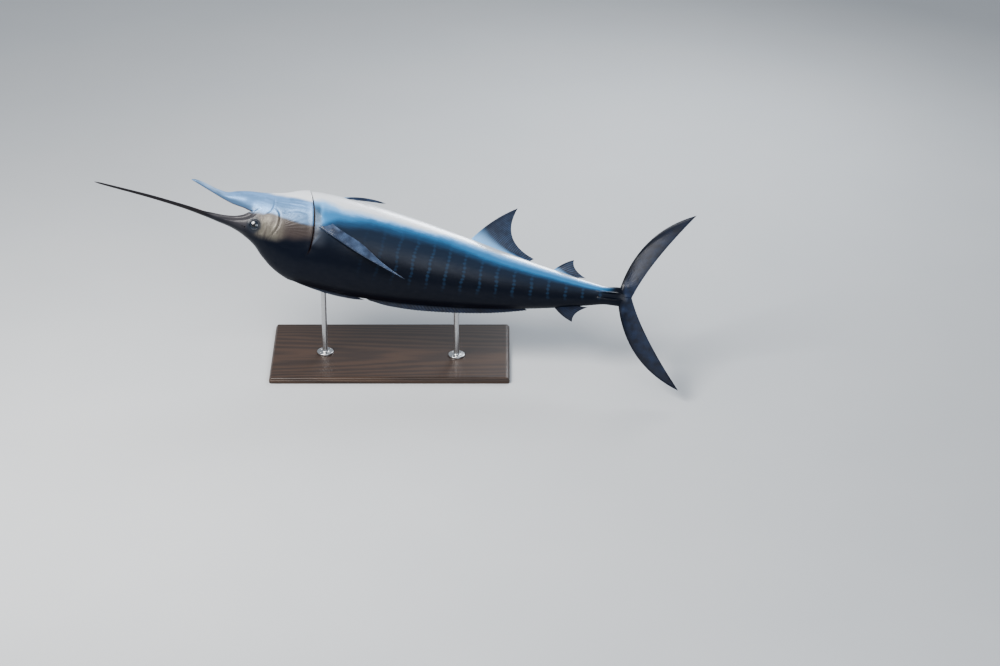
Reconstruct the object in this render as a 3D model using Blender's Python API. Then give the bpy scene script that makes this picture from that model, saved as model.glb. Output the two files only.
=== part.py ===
"""A blue marlin, life size, as a still museum model: mouth open, rolled almost belly up, on a display stand.

Each piece of the fish is first modelled on a straight fish in the fish's own frame: +X from the eye
towards the tail, +Y to its right, +Z towards its back. posed() then bends and rolls the finished piece
into its place over the stand, in the world frame with +Z up. All sizes are in metres.
"""

import math

import bmesh
import bpy
import numpy as np
from mathutils import Vector

# Driving dimensions of the fish, along its axis
FORK_LENGTH = 2.40  # tip of the lower jaw, mouth shut, to the fork of the tail
EYE_FROM_JAW_TIP = 0.324
BILL_REACH = 0.875  # eye to the tip of the bill
FORK = FORK_LENGTH - EYE_FROM_JAW_TIP
GILL_EDGE = 0.312  # rear edge of the gill cover
TRUNK_JOINT = 0.86  # where the front and rear of the trunk meet
STALK_JOINT = 1.50  # where the trunk and the tail stalk meet
STALK_END = FORK - 0.006
BILL_ROOT = -0.25  # where the bill meets the head
MOUTH_CORNER = -0.030
THROAT_FRONT = -0.012
GAP = 0.0003  # kept between neighbouring pieces

# The pose
PITCH = math.radians(15.8)  # the head is this much higher than the tail
ROLL = math.radians(28.0)  # the back points this far short of straight down, towards -Y
SWING = math.radians(24.0)  # the tail swings this far to the fish's right
SWING_SPAN = (0.45, 2.20)  # stations between which it swings
ARCH = math.radians(8.0)  # the tail also bends this far towards the belly
EYE_PLACE = np.array([-0.727, 0.011, 0.790])  # the eye's station on the axis, in the world

# The body's sections: station, height of the back, of the widest point and of the belly, half width,
# and how sharp the ridges of back and belly are (1 is an ellipse, more is sharper, less is flatter).
# Ahead of the mouth's corner the lowest line is the roof of the mouth; behind it, the throat.
SECTIONS = np.array(
    [
        (-BILL_REACH, -0.0165, -0.0180, -0.0195, 0.0018, 1.00, 1.00),
        (-0.8400, -0.0135, -0.0180, -0.0225, 0.0056, 1.00, 1.00),
        (-0.6000, -0.0080, -0.0160, -0.0240, 0.0115, 1.00, 1.00),
        (-0.4000, 0.0020, -0.0085, -0.0185, 0.0170, 1.00, 0.90),
        (-0.2700, 0.0160, 0.0005, -0.0125, 0.0250, 1.00, 0.75),
        (-0.1900, 0.0280, 0.0060, -0.0125, 0.0350, 1.00, 0.65),
        (-0.1200, 0.0390, 0.008, -0.0210, 0.0455, 1.00, 0.60),
        (-0.0700, 0.0530, 0.005, -0.0400, 0.0560, 1.00, 0.60),
        (MOUTH_CORNER, 0.0700, 0.000, -0.0620, 0.0650, 1.02, 0.60),
        (THROAT_FRONT, 0.0785, -0.004, -0.1800, 0.0690, 1.05, 1.00),
        (0.0300, 0.1040, -0.010, -0.1890, 0.0780, 1.10, 1.08),
        (0.0860, 0.1530, -0.015, -0.2020, 0.0920, 1.18, 1.15),
        (0.1540, 0.1960, -0.018, -0.2200, 0.1080, 1.25, 1.15),
        (0.2300, 0.2230, -0.018, -0.2410, 0.1240, 1.26, 1.10),
        (GILL_EDGE, 0.2400, -0.015, -0.2560, 0.1380, 1.22, 1.05),
        (0.5000, 0.2460, -0.010, -0.2670, 0.1500, 1.15, 1.00),
        (0.8000, 0.2240, -0.010, -0.2500, 0.1460, 1.10, 1.00),
        (1.1000, 0.1860, -0.008, -0.2130, 0.1260, 1.08, 1.00),
        (1.4000, 0.1420, -0.004, -0.1580, 0.0960, 1.05, 1.00),
        (1.6500, 0.1010, 0.000, -0.1080, 0.0660, 1.00, 1.00),
        (1.8500, 0.0640, 0.000, -0.0660, 0.0410, 1.00, 1.00),
        (1.9600, 0.0480, 0.000, -0.0490, 0.0300, 1.00, 1.00),
        (2.0200, 0.0500, 0.000, -0.0510, 0.0215, 1.00, 1.00),
        (2.0460, 0.0430, 0.000, -0.0440, 0.0150, 1.00, 1.00),
        (2.0620, 0.0280, 0.000, -0.0290, 0.0085, 1.00, 1.00),
        (STALK_END, 0.0080, 0.000, -0.0085, 0.0030, 1.00, 1.00),
    ]
)
BODY_SIDES = 36
BILL_SIDES = 16
GILL_BOW = 0.83  # how fast the gill cover's rear edge curves forward, away from its rearmost point
GILL_REARMOST = 0.02  # height of that point
GILL_BOW_SPAN = (0.08, 0.62)  # sections bow forward between these stations, most at the gill cover's edge
GILL_STEP = 0.004  # the trunk starts this much narrower than the gill cover's edge
GILL_STEP_LENGTH = 0.09  # and is as wide again this far behind it
TAIL_KEEL = 0.010  # how far the tail keels stand out
KEEL_ANGLES = (70, 110)  # where they lie, in degrees round from the back
KEEL_HALF_ANGLE = 8
KEEL_SPAN = (1.90, 2.05)

# The lower jaw, open: station, height of its rim, of its underside, half width
JAW_SECTIONS = np.array(
    [
        (-0.3780, -0.1560, -0.1600, 0.0020),
        (-0.3550, -0.1490, -0.1640, 0.0085),
        (-0.3000, -0.1320, -0.1560, 0.0160),
        (-0.2400, -0.1135, -0.1425, 0.0235),
        (-0.1860, -0.0975, -0.1370, 0.0300),
        (-0.1250, -0.0840, -0.1560, 0.0395),
        (-0.0600, -0.0785, -0.1720, 0.0495),
        (0.0150, -0.0750, -0.1820, 0.0580),
    ]
)
JAW_SIDES = 20
JAW_MIDDLE = 0.35  # the jaw is widest this share of its depth below its rim
JAW_POWERS = (0.55, 1.15)  # how sharp its rim and its keel are
JAW_TROUGH = 0.010  # how far the mouth's floor lies below the rim
JAW_TROUGH_WIDTH = 0.72  # share of the jaw's width
JAW_TROUGH_START = (-0.33, -0.20)  # the floor sinks between these stations

# The head's smaller parts
EYE_RADIUS = 0.029
EYE_SUNK = 0.0185  # how far the ball's centre lies inside the cheek
LID_TUBE = 0.0045
LID_REACH = 0.93  # radius of the rim of skin round the eye, as a share of the eye's
LIP_SPAN = (-0.235, MOUTH_CORNER - 0.004)
LIP_OUT = 0.93  # the lip runs at this share of the half width
LIP_UP = 0.15  # and this share of the way from the mouth's roof to the widest point
LIP_TUBE = (0.0022, 0.0020)  # its least radius, and what is added in its middle
NOSTRIL_STATIONS = (-0.060, -0.046)
NOSTRIL_HEIGHT = 0.020
NOSTRIL_SIZE = (0.0045, 0.008, 0.0026)
MOUTH_CENTRE = (-0.020, 0.0, -0.076)
MOUTH_SIZE = (0.085, 0.043, 0.027)
COVER_CENTRE = (0.300, -0.055)
COVER_SIZE = (0.185, 0.145)
COVER_INNER = 0.060  # the gill cover is cut from the head out from this distance to the side
COVER_RAISED = 0.003

SINK = 0.014  # how deep a fin's root reaches into the body before it is cut to fit
# Of the folded first back fin: its base's two ends, how far the first tip lies behind the first root, and the
# last tip's station; then how high the tips rise at these stations
FOLDED_FRONT = (0.262, 0.600, 0.012, 0.675)
FRONT_RISE = ((0.26, 0.38, 0.50, 0.60, 0.675), (0.000, 0.009, 0.014, 0.014, 0.010))
FOLDED_REAR = (0.655, 1.500, 0.045, 1.535)
REAR_RISE = ((0.70, 0.80, 1.00, 1.30, 1.54), (0.008, 0.024, 0.032, 0.026, 0.008))
# Of a swept fin: its apex from the front of its base, the bend of its rear edge, its heel from the base's end
SMALL_SICKLE = ((0.115, 0.062), (0.105, 0.010), (0.075, -0.004))
LARGE_SICKLE = ((0.235, 0.205), (0.160, 0.020), (0.030, 0.012))
# Of the tail: station of the leading ray's root, how far behind it the last one is, height of the leading one
TAIL_ROOT = (2.022, 0.034, 0.040)
TAIL_TIP, TAIL_HOLLOW = (2.400, 0.470), (2.165, 0.190)

# Colours: red, green, blue; roughness; metallic
FINISHES = {
    "back_skin": ((0.020, 0.028, 0.060), 0.28, 0.10),
    "cheek_skin": ((0.300, 0.250, 0.190), 0.30, 0.20),
    "silver_skin": ((0.420, 0.520, 0.680), 0.25, 0.30),
    "bill_skin": ((0.030, 0.028, 0.032), 0.35, 0.00),
    "fin_skin": ((0.035, 0.045, 0.090), 0.35, 0.00),
    "pectoral_skin": ((0.120, 0.160, 0.290), 0.35, 0.05),
    "eye": ((0.010, 0.012, 0.020), 0.05, 0.00),
    "stand_wood": ((0.120, 0.060, 0.032), 0.40, 0.00),
    "stand_steel": ((0.550, 0.560, 0.570), 0.30, 1.00),
}


def through(stations, values):
    """A smooth line through the values at these stations, which never overshoots between them."""
    x, y = np.asarray(stations, float), np.asarray(values, float)
    step = np.diff(x)
    slope = np.diff(y) / step
    tangent = np.zeros_like(y)
    tangent[0], tangent[-1] = slope[0], slope[-1]
    rising = slope[:-1] * slope[1:] > 0
    before, after = slope[:-1][rising], slope[1:][rising]
    tangent[1:-1][rising] = 2 * before * after / (before + after)

    def at(where):
        where = np.clip(where, x[0], x[-1])
        i = np.clip(np.searchsorted(x, where) - 1, 0, len(step) - 1)
        t = (where - x[i]) / step[i]
        return (
            (1 + 2 * t) * (1 - t) ** 2 * y[i]
            + t * (1 - t) ** 2 * step[i] * tangent[i]
            + t**2 * (3 - 2 * t) * y[i + 1]
            + t**2 * (t - 1) * step[i] * tangent[i + 1]
        )

    return at


def eased(value, start, end):
    """0 before start, 1 after end, and smooth between."""
    t = np.clip((value - start) / (end - start), 0, 1)
    return t * t * (3 - 2 * t)


back, waist, belly, half_width, back_power, belly_power = (
    through(SECTIONS[:, 0], SECTIONS[:, i]) for i in range(1, 7)
)
jaw_rim, jaw_under, jaw_half_width = (
    through(JAW_SECTIONS[:, 0], JAW_SECTIONS[:, i]) for i in range(1, 4)
)


def body_ring(station, sides, swell=0.0):
    """The points of one section, from the back round by the fish's right side, swollen outwards by swell."""
    angle = 2 * math.pi * np.arange(sides) / sides
    out, up = np.sin(angle), np.cos(angle)
    middle, width = waist(station), half_width(station) + swell
    narrowed = (station > GILL_EDGE) * (1 - eased(station, GILL_EDGE, GILL_EDGE + GILL_STEP_LENGTH))
    width = width - GILL_STEP * narrowed
    power = np.where(up >= 0, back_power(station), belly_power(station))
    side = np.sign(out) * width * np.abs(out) ** power
    reach = np.where(
        up >= 0, back(station) - middle, middle - belly(station)
    ) + swell
    height = middle + reach * up
    round_from_back = np.degrees(np.arccos(up))
    for keel in KEEL_ANGLES:
        ridge = np.clip(1 - np.abs(round_from_back - keel) / KEEL_HALF_ANGLE, 0, 1)
        along = np.clip((station - KEEL_SPAN[0]) / (KEEL_SPAN[1] - KEEL_SPAN[0]), 0, 1)
        side = side + np.sign(out) * TAIL_KEEL * ridge * math.sin(math.pi * along) ** 1.5
    bow = eased(station, GILL_BOW_SPAN[0], GILL_EDGE) * (1 - eased(station, GILL_EDGE, GILL_BOW_SPAN[1]))
    shift = GILL_BOW * bow * (height - GILL_REARMOST) ** 2
    return np.stack([station - shift, side, height], axis=1)


def jaw_ring(station, sides):
    """One section of the lower jaw: a keeled underside and a rim with the trough of the mouth between."""
    angle = 2 * math.pi * np.arange(sides) / sides
    out, up = np.sin(angle), np.cos(angle)
    rim, under, width = jaw_rim(station), jaw_under(station), jaw_half_width(station)
    middle = rim - JAW_MIDDLE * (rim - under)
    side = np.sign(out) * width * np.abs(out) ** np.where(up >= 0, *JAW_POWERS)
    height = middle + np.where(up >= 0, rim - middle, middle - under) * up
    trough = JAW_TROUGH * eased(station, *JAW_TROUGH_START)
    height = height - trough * np.clip(1 - (side / (JAW_TROUGH_WIDTH * width)) ** 2, 0, 1) * (up > 0)
    return np.stack([np.full(sides, station), side, height], axis=1)


def mesh_object(name, points, faces):
    """A new object with this mesh, its faces turned to point outwards."""
    mesh = bpy.data.meshes.new(name)
    mesh.from_pydata([tuple(map(float, p)) for p in points], [], faces)
    obj = bpy.data.objects.new(name, mesh)
    bpy.context.scene.collection.objects.link(obj)
    shape = bmesh.new()
    shape.from_mesh(mesh)
    bmesh.ops.remove_doubles(shape, verts=shape.verts, dist=1e-6)
    bmesh.ops.recalc_face_normals(shape, faces=shape.faces)
    shape.to_mesh(mesh)
    shape.free()
    return obj


def loft(name, rings):
    """Joins equal rings into one closed skin. Strips from one side across to the other close each end."""
    count, sides = len(rings), len(rings[0])
    faces = []
    for k in range(count - 1):
        for j in range(sides):
            n = (j + 1) % sides
            faces.append((k * sides + j, k * sides + n, (k + 1) * sides + n, (k + 1) * sides + j))
    for first in (0, (count - 1) * sides):
        for j in range(sides // 2):
            strip = [first + j, first + j + 1, first + sides - j - 1, first + (sides - j) % sides]
            faces.append(list(dict.fromkeys(strip)))
    return mesh_object(name, np.concatenate(rings), faces)


def body_piece(name, stations, sides=BODY_SIDES, swell=0.0):
    return loft(name, [body_ring(s, sides, swell) for s in stations])


def fin(name, rays, rows, grid, ray_rise, web_half, lead_half):
    """A closed fin. grid(u, q) gives its middle surface, u from the leading edge back, q from root to tip.

    Every second column is a ray, raised above the web between, less where the rays crowd together.
    Rays and web thin out towards the tip.
    """
    columns = 2 * rays + 1
    u, q = np.meshgrid(np.linspace(0, 1, columns), np.linspace(0, 1, rows), indexing="ij")
    middle = grid(u, q)
    normal = np.cross(np.gradient(middle, axis=0), np.gradient(middle, axis=1))
    normal /= np.linalg.norm(normal, axis=2, keepdims=True)
    is_ray = (np.arange(columns) % 2 == 1)[:, None]
    crowding = np.linalg.norm(np.gradient(middle, axis=0), axis=2)
    rise = np.minimum(ray_rise * (1 - 0.7 * q), 0.22 * crowding)
    half = web_half * (1 - 0.4 * q) + rise * is_ray
    half[0] = lead_half * (1 - 0.75 * q[0])
    half[-1] = web_half * 0.6
    offset = normal * half[..., None]
    points = np.concatenate([(middle + offset).reshape(-1, 3), (middle - offset).reshape(-1, 3)])
    other = columns * rows

    def corner(i, k):
        return i * rows + k

    faces = []
    for i in range(columns - 1):
        for k in range(rows - 1):
            a, b = corner(i, k), corner(i + 1, k)
            c, d = corner(i + 1, k + 1), corner(i, k + 1)
            faces += [(a, b, c), (a, c, d)]
            faces += [(other + c, other + b, other + a), (other + d, other + c, other + a)]
    edge = [corner(i, 0) for i in range(columns)]
    edge += [corner(columns - 1, k) for k in range(1, rows)]
    edge += [corner(i, rows - 1) for i in range(columns - 2, -1, -1)]
    edge += [corner(0, k) for k in range(rows - 2, 0, -1)]
    for a, b in zip(edge, edge[1:] + edge[:1]):
        faces += [(a, b, other + b), (a, other + b, other + a)]
    return mesh_object(name, points, faces)


def applied(obj, cutters, operation):
    """Joins obj with the cutters, or cuts it by them, and removes them. The largest closed surface stays."""
    tools = bpy.data.collections.new("tools")
    bpy.context.scene.collection.children.link(tools)
    for cutter in cutters:
        tools.objects.link(cutter)
    modifier = obj.modifiers.new("boolean", "BOOLEAN")
    modifier.operation = operation
    modifier.operand_type = "COLLECTION"
    modifier.collection = tools
    modifier.solver = "EXACT"
    bpy.context.view_layer.update()
    graph = bpy.context.evaluated_depsgraph_get()
    mesh = bpy.data.meshes.new_from_object(obj.evaluated_get(graph))
    obj.modifiers.clear()
    obj.data = mesh
    for cutter in cutters:
        bpy.data.objects.remove(cutter)
    bpy.data.collections.remove(tools)
    keep_largest(obj)
    return obj


def keep_largest(obj):
    """Deletes all but the connected surface that holds the most volume, and welds slivers."""
    shape = bmesh.new()
    shape.from_mesh(obj.data)
    bmesh.ops.triangulate(shape, faces=shape.faces)
    bmesh.ops.dissolve_degenerate(shape, edges=shape.edges, dist=4e-6)
    bmesh.ops.triangulate(shape, faces=shape.faces)
    left, islands = set(shape.faces), []
    while left:
        island, front = set(), [left.pop()]
        while front:
            face = front.pop()
            island.add(face)
            near = {f for e in face.edges for f in e.link_faces} & left
            left -= near
            front.extend(near)
        islands.append(island)

    def volume(island):
        total = 0.0
        for face in island:
            a, b, c = (v.co for v in face.verts)
            total += a.dot(b.cross(c))
        return abs(total)

    largest = max(islands, key=volume)
    loose = [face for face in shape.faces if face not in largest]
    bmesh.ops.delete(shape, geom=loose, context="FACES")
    bmesh.ops.delete(shape, geom=[e for e in shape.edges if not e.link_faces], context="EDGES")
    shape.to_mesh(obj.data)
    shape.free()


def fattened(obj, by, name="cutter"):
    """A copy of obj with its surface moved outwards."""
    copy = bpy.data.objects.new(name, obj.data.copy())
    bpy.context.scene.collection.objects.link(copy)
    shape = bmesh.new()
    shape.from_mesh(copy.data)
    shape.normal_update()
    for vertex in shape.verts:
        vertex.co += vertex.normal * by * vertex.calc_shell_factor()
    shape.to_mesh(copy.data)
    shape.free()
    return copy


def ball(name, centre, size, segments=18, rings=10):
    shape = bmesh.new()
    bmesh.ops.create_uvsphere(shape, u_segments=segments, v_segments=rings, radius=1.0)
    for vertex in shape.verts:
        vertex.co = Vector([c + s * x for c, s, x in zip(centre, size, vertex.co)])
    points = [tuple(v.co) for v in shape.verts]
    faces = [[v.index for v in f.verts] for f in shape.faces]
    shape.free()
    return mesh_object(name, points, faces)


def prism(name, centre, size, near, far, sides=40):
    """An elliptical prism across the fish, from near to far on the Y axis."""
    angle = 2 * math.pi * np.arange(sides) / sides
    ring = [(centre[0] + size[0] * math.cos(t), centre[1] + size[1] * math.sin(t)) for t in angle]
    points = [(x, y, z) for y in (near, far) for x, z in ring]
    faces = [(j, (j + 1) % sides, sides + (j + 1) % sides, sides + j) for j in range(sides)]
    faces += [list(range(sides)), list(range(sides, 2 * sides))]
    return mesh_object(name, points, faces)


def tube(name, path, radii, sides=8, closed=False):
    """A round tube along a path of points, thick as radii says at each."""
    path = np.asarray(path, float)
    along = np.gradient(path, axis=0)
    if closed:
        along = np.roll(path, -1, axis=0) - np.roll(path, 1, axis=0)
    along /= np.linalg.norm(along, axis=1, keepdims=True)
    across = np.cross(along, (0.0, 1.0, 0.35))
    across /= np.linalg.norm(across, axis=1, keepdims=True)
    other = np.cross(along, across)
    angle = 2 * math.pi * np.arange(sides) / sides
    rings = path[:, None] + np.asarray(radii)[:, None, None] * (
        np.cos(angle)[None, :, None] * across[:, None] + np.sin(angle)[None, :, None] * other[:, None]
    )
    if not closed:
        return loft(name, list(rings))
    count = len(path)
    faces = []
    for k in range(count):
        for j in range(sides):
            a, b = k * sides + j, k * sides + (j + 1) % sides
            c, d = ((k + 1) % count) * sides + (j + 1) % sides, ((k + 1) % count) * sides + j
            faces.append((a, b, c, d))
    return mesh_object(name, rings.reshape(-1, 3), faces)


def axis_line():
    """Stations, and at each the axis's point and the fish's right and back, on the bent fish."""
    station = np.linspace(-1.0, 2.6, 721)
    swing = SWING * eased(station, *SWING_SPAN)
    arch = ARCH * eased(station, *SWING_SPAN)
    along = np.stack([np.cos(swing) * np.cos(arch), np.sin(swing) * np.cos(arch), -np.sin(arch)], axis=1)
    right = np.stack([-np.sin(swing), np.cos(swing), np.zeros_like(swing)], axis=1)
    up = np.cross(along, right)
    step = np.diff(station)[:, None]
    point = np.concatenate([np.zeros((1, 3)), np.cumsum((along[1:] + along[:-1]) / 2 * step, axis=0)])
    eye = np.array([np.interp(0.0, station, point[:, i]) for i in range(3)])
    return station, point - eye, right, up


def world_frame():
    """Columns: where the fish's +X, +Y and +Z point in the world before it bends."""
    tailward = np.array([math.cos(PITCH), 0.0, -math.sin(PITCH)])
    down = np.array([-math.sin(PITCH), 0.0, -math.cos(PITCH)])
    towards_back = math.cos(ROLL) * down + math.sin(ROLL) * np.array([0.0, -1.0, 0.0])
    return np.stack([tailward, np.cross(towards_back, tailward), towards_back], axis=1)


AXIS = axis_line()
WORLD = world_frame()


def posed(points):
    """Points of the straight fish, moved to where they are on the bent and rolled one."""
    station, line, right, up = AXIS
    points = np.asarray(points, float)
    centre, side, height = (
        np.stack([np.interp(points[:, 0], station, part[:, i]) for i in range(3)], axis=1)
        for part in (line, right, up)
    )
    bent = centre + points[:, 1:2] * side + points[:, 2:3] * height
    return EYE_PLACE + bent @ WORLD.T


def pose(obj):
    """Moves a straight piece's points to the posed fish."""
    count = len(obj.data.vertices)
    points = np.empty(count * 3, np.float32)
    obj.data.vertices.foreach_get("co", points)
    obj.data.vertices.foreach_set("co", posed(points.reshape(-1, 3)).astype(np.float32).ravel())
    obj.data.update()
    return obj


def finish(obj, look, parent):
    """Gives a piece its colour and its parent, and puts its origin in its middle."""
    colour, roughness, metallic = FINISHES[look]
    material = bpy.data.materials.get(look) or bpy.data.materials.new(look)
    material.use_nodes = True
    shader = material.node_tree.nodes["Principled BSDF"]
    shader.inputs["Base Color"].default_value = (*colour, 1.0)
    shader.inputs["Roughness"].default_value = roughness
    shader.inputs["Metallic"].default_value = metallic
    obj.data.materials.clear()
    obj.data.materials.append(material)
    obj.data.shade_smooth()
    obj.data.set_sharp_from_angle(angle=math.radians(35))
    middle = sum((Vector(c) for c in obj.bound_box), Vector()) / 8
    for vertex in obj.data.vertices:
        vertex.co -= middle
    obj.location = middle
    obj.parent = parent
    return obj


def head_stations():
    """Close together round the mouth and the steep brow, further apart elsewhere."""
    snout = [BILL_ROOT + GAP / 2, -0.22, -0.19, -0.16, -0.13, -0.10, -0.07, -0.05, MOUTH_CORNER]
    skull = [THROAT_FRONT, 0.01, 0.035, 0.06, 0.086, 0.115, 0.15, 0.19, 0.23, 0.27, GILL_EDGE - GAP / 2]
    return snout + skull


def side_point(station, height):
    """How far out the skin is at this station and height."""
    ring = body_ring(station, 360)
    right = ring[:180]
    return float(np.interp(-height, -right[:, 2], right[:, 1]))


def lip(side):
    """A soft ridge along the edge of the mouth's roof."""
    stations = np.linspace(*LIP_SPAN, 12)
    path = [
        (s, side * half_width(s) * LIP_OUT, belly(s) + LIP_UP * (waist(s) - belly(s))) for s in stations
    ]
    radii = LIP_TUBE[0] + LIP_TUBE[1] * np.sin(np.linspace(0.2, math.pi - 0.5, len(stations)))
    return tube("lip", path, radii)


def lid(side):
    """The round rim of skin round the eye."""
    angle = np.linspace(0, 2 * math.pi, 24, endpoint=False)
    path = []
    for t in angle:
        station = EYE_RADIUS * LID_REACH * math.cos(t)
        height = EYE_RADIUS * LID_REACH * math.sin(t)
        path.append((station, side * side_point(station, height), height))
    return tube("lid", path, np.full(24, LID_TUBE), closed=True)


def make_head():
    """The head with its lids, lips, sockets, nostrils and open mouth, and the gill covers cut from it."""
    stations = head_stations()
    head = body_piece("head", stations)
    eye_out = side_point(0.0, 0.0) - EYE_SUNK
    head = applied(head, [lip(1), lip(-1), lid(1), lid(-1)], "UNION")
    cutters = [ball("mouth", MOUTH_CENTRE, MOUTH_SIZE)]
    covers = {}
    for side, word in ((1, "right"), (-1, "left")):
        socket = EYE_RADIUS + GAP
        cutters.append(ball("socket", (0, side * eye_out, 0), (socket, socket, socket)))
        for station in NOSTRIL_STATIONS:
            out = side_point(station, NOSTRIL_HEIGHT)
            cutters.append(ball("nostril", (station, side * out, NOSTRIL_HEIGHT), NOSTRIL_SIZE, 10, 6))
        grown = (COVER_SIZE[0] + GAP, COVER_SIZE[1] + GAP)
        inner, outer = COVER_INNER, 0.4
        cutters.append(prism("pocket", COVER_CENTRE, grown, side * (inner - GAP), side * outer))
        cover = body_piece(f"gill_cover_{word}", stations, swell=COVER_RAISED)
        block = prism("block", COVER_CENTRE, COVER_SIZE, side * inner, side * outer)
        covers[word] = applied(cover, [block], "INTERSECT")
    return applied(head, cutters, "DIFFERENCE"), covers, eye_out


def make_jaw(head_cutter):
    """The open lower jaw, its rear end cut to the head and hollowed by the mouth."""
    start, end = JAW_SECTIONS[0, 0], JAW_SECTIONS[-1, 0]
    stations = np.concatenate([np.linspace(start, -0.34, 4), np.linspace(-0.32, end, 16)])
    jaw = loft("lower_jaw", [jaw_ring(s, JAW_SIDES) for s in stations])
    mouth = ball("mouth", MOUTH_CENTRE, MOUTH_SIZE)
    return applied(jaw, [head_cutter, mouth], "DIFFERENCE")


def bezier(a, b, c, t):
    """A curve from a to c, drawn towards b."""
    t = t[..., None]
    return (1 - t) ** 2 * np.array(a) + 2 * t * (1 - t) * np.array(b) + t**2 * np.array(c)


def median_grid(root, tip, bow):
    """Rays in the fish's middle plane. root(u) and tip(u) give each ray's ends; bow bends it forward."""

    def grid(u, q):
        low, high = root(u), tip(u)
        reach = high - low
        forward = np.stack([-np.abs(reach[..., 1]), np.abs(reach[..., 0]) * np.sign(reach[..., 1])], axis=-1)
        flat = low + reach * q[..., None] + bow * forward * (4 * q * (1 - q))[..., None]
        return np.stack([flat[..., 0], np.zeros_like(u), flat[..., 1]], axis=-1)

    return grid


def ridge_root(start, end, line, side):
    """Roots along the back (side 1) or the belly (side -1), sunk in the body."""

    def root(u):
        x = start + (end - start) * u
        return np.stack([x, line(x) - side * SINK], axis=-1)

    return root


def sickle(name, base, line, side, apex, hollow, heel, rays, rows, half):
    """A median fin with a swept apex and a hollow trailing edge that ends low at the heel."""
    root = ridge_root(*base, line, side)
    x0, x1 = base
    top = (x0 + apex[0], float(line(x0)) + side * apex[1])
    low = (x1 + heel[0], float(line(x1)) + side * heel[1])
    bend = (x0 + hollow[0], float(line(x0)) + side * hollow[1])
    return fin(name, rays, rows, median_grid(root, lambda u: bezier(top, bend, low, u), 0.06), *half)


def folded_grid(span, rises, bow):
    """The first back fin folded down: low rays from the back to a tip line that rises and falls along it."""
    start, end, lead_in, last = span
    rise = through(*rises)

    def tip(u):
        x = start + lead_in + (last - start - lead_in) * u
        return np.stack([x, back(x) + rise(x)], axis=-1)

    return median_grid(ridge_root(start, end, back, 1), tip, bow)


def dorsal_front():
    """The tall front lobe of the first back fin, laid back along the body, its tip free."""
    grid = folded_grid(FOLDED_FRONT, FRONT_RISE, 0.02)
    return fin("dorsal_fin_front", 12, 4, grid, ray_rise=0.0022, web_half=0.0024, lead_half=0.0042)


def dorsal_rear():
    """The long low rear of the first back fin, half lowered."""
    grid = folded_grid(FOLDED_REAR, REAR_RISE, 0.0)
    return fin("dorsal_fin_rear", 22, 3, grid, ray_rise=0.0018, web_half=0.0014, lead_half=0.0026)


def caudal_lobe(name, side):
    """One half of the tail: a long curved blade from the end of the stalk to its tip."""

    flip = np.array([1, side])
    tail_fork = (FORK + 0.016, side * GAP / 2)

    def root(u):
        station, length, height = TAIL_ROOT
        return np.stack([station + length * u, side * (height * (1 - u) + GAP / 2 * u)], axis=-1)

    def tip(u):
        return bezier(TAIL_TIP * flip, TAIL_HOLLOW * flip, tail_fork, u**0.8)

    grid = median_grid(root, tip, 0.14)
    return fin(name, 11, 9, grid, ray_rise=0.0030, web_half=0.0034, lead_half=0.0075)


def pectoral(name, side):
    """Laid back along the flank, half turned: the leading edge, nearer the back, stands out further.

    The front line holds station, distance out and height along the leading edge, from root to tip;
    the rear line, along the trailing edge, from the same tip back to the root.
    """
    front = np.array(
        [
            (0.322, 0.121, -0.070),
            (0.440, 0.171, -0.031),
            (0.575, 0.205, 0.017),
            (0.690, 0.230, 0.050),
            (0.856, 0.262, 0.094),
        ]
    )
    rear = np.array(
        [
            (0.856, 0.262, 0.094),
            (0.770, 0.238, 0.060),
            (0.688, 0.212, 0.022),
            (0.640, 0.196, -0.006),
            (0.578, 0.176, -0.040),
            (0.440, 0.150, -0.090),
            (0.372, 0.134, -0.123),
        ]
    )
    last_root = np.array([0.354, 0.119, -0.120])
    lead = [through(np.linspace(0, 1, len(front)), front[:, i]) for i in range(3)]
    trail = [through(np.linspace(0, 1, len(rear)), rear[:, i]) for i in range(3)]

    def grid(u, q):
        low = front[0] * (1 - u[..., None]) + last_root * u[..., None]
        high = np.stack([line(u**1.2) for line in trail], axis=-1)
        edge = np.stack([line(q) for line in lead], axis=-1)
        bulge = edge - (front[0] + (front[-1] - front[0]) * q[..., None])
        flat = low + (high - low) * q[..., None] + bulge * (1 - u[..., None])
        return flat * np.array([1.0, side, 1.0])

    return fin(name, 12, 9, grid, ray_rise=0.0026, web_half=0.0020, lead_half=0.0060)


def pelvic(name, side):
    """A long thin strap that trails along the belly."""
    roots = (0.400, 0.018, -0.250), (0.416, 0.018, -0.250)
    trail = (0.665, 0.040, -0.286), (0.560, 0.036, -0.284), (0.470, 0.026, -0.280)

    def grid(u, q):
        low = np.array(roots[0]) * (1 - u[..., None]) + np.array(roots[1]) * u[..., None]
        flat = low + (bezier(*trail, u) - low) * q[..., None]
        return flat * np.array([1.0, side, 1.0])

    return fin(name, 3, 7, grid, ray_rise=0.0010, web_half=0.0012, lead_half=0.0026)


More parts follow.
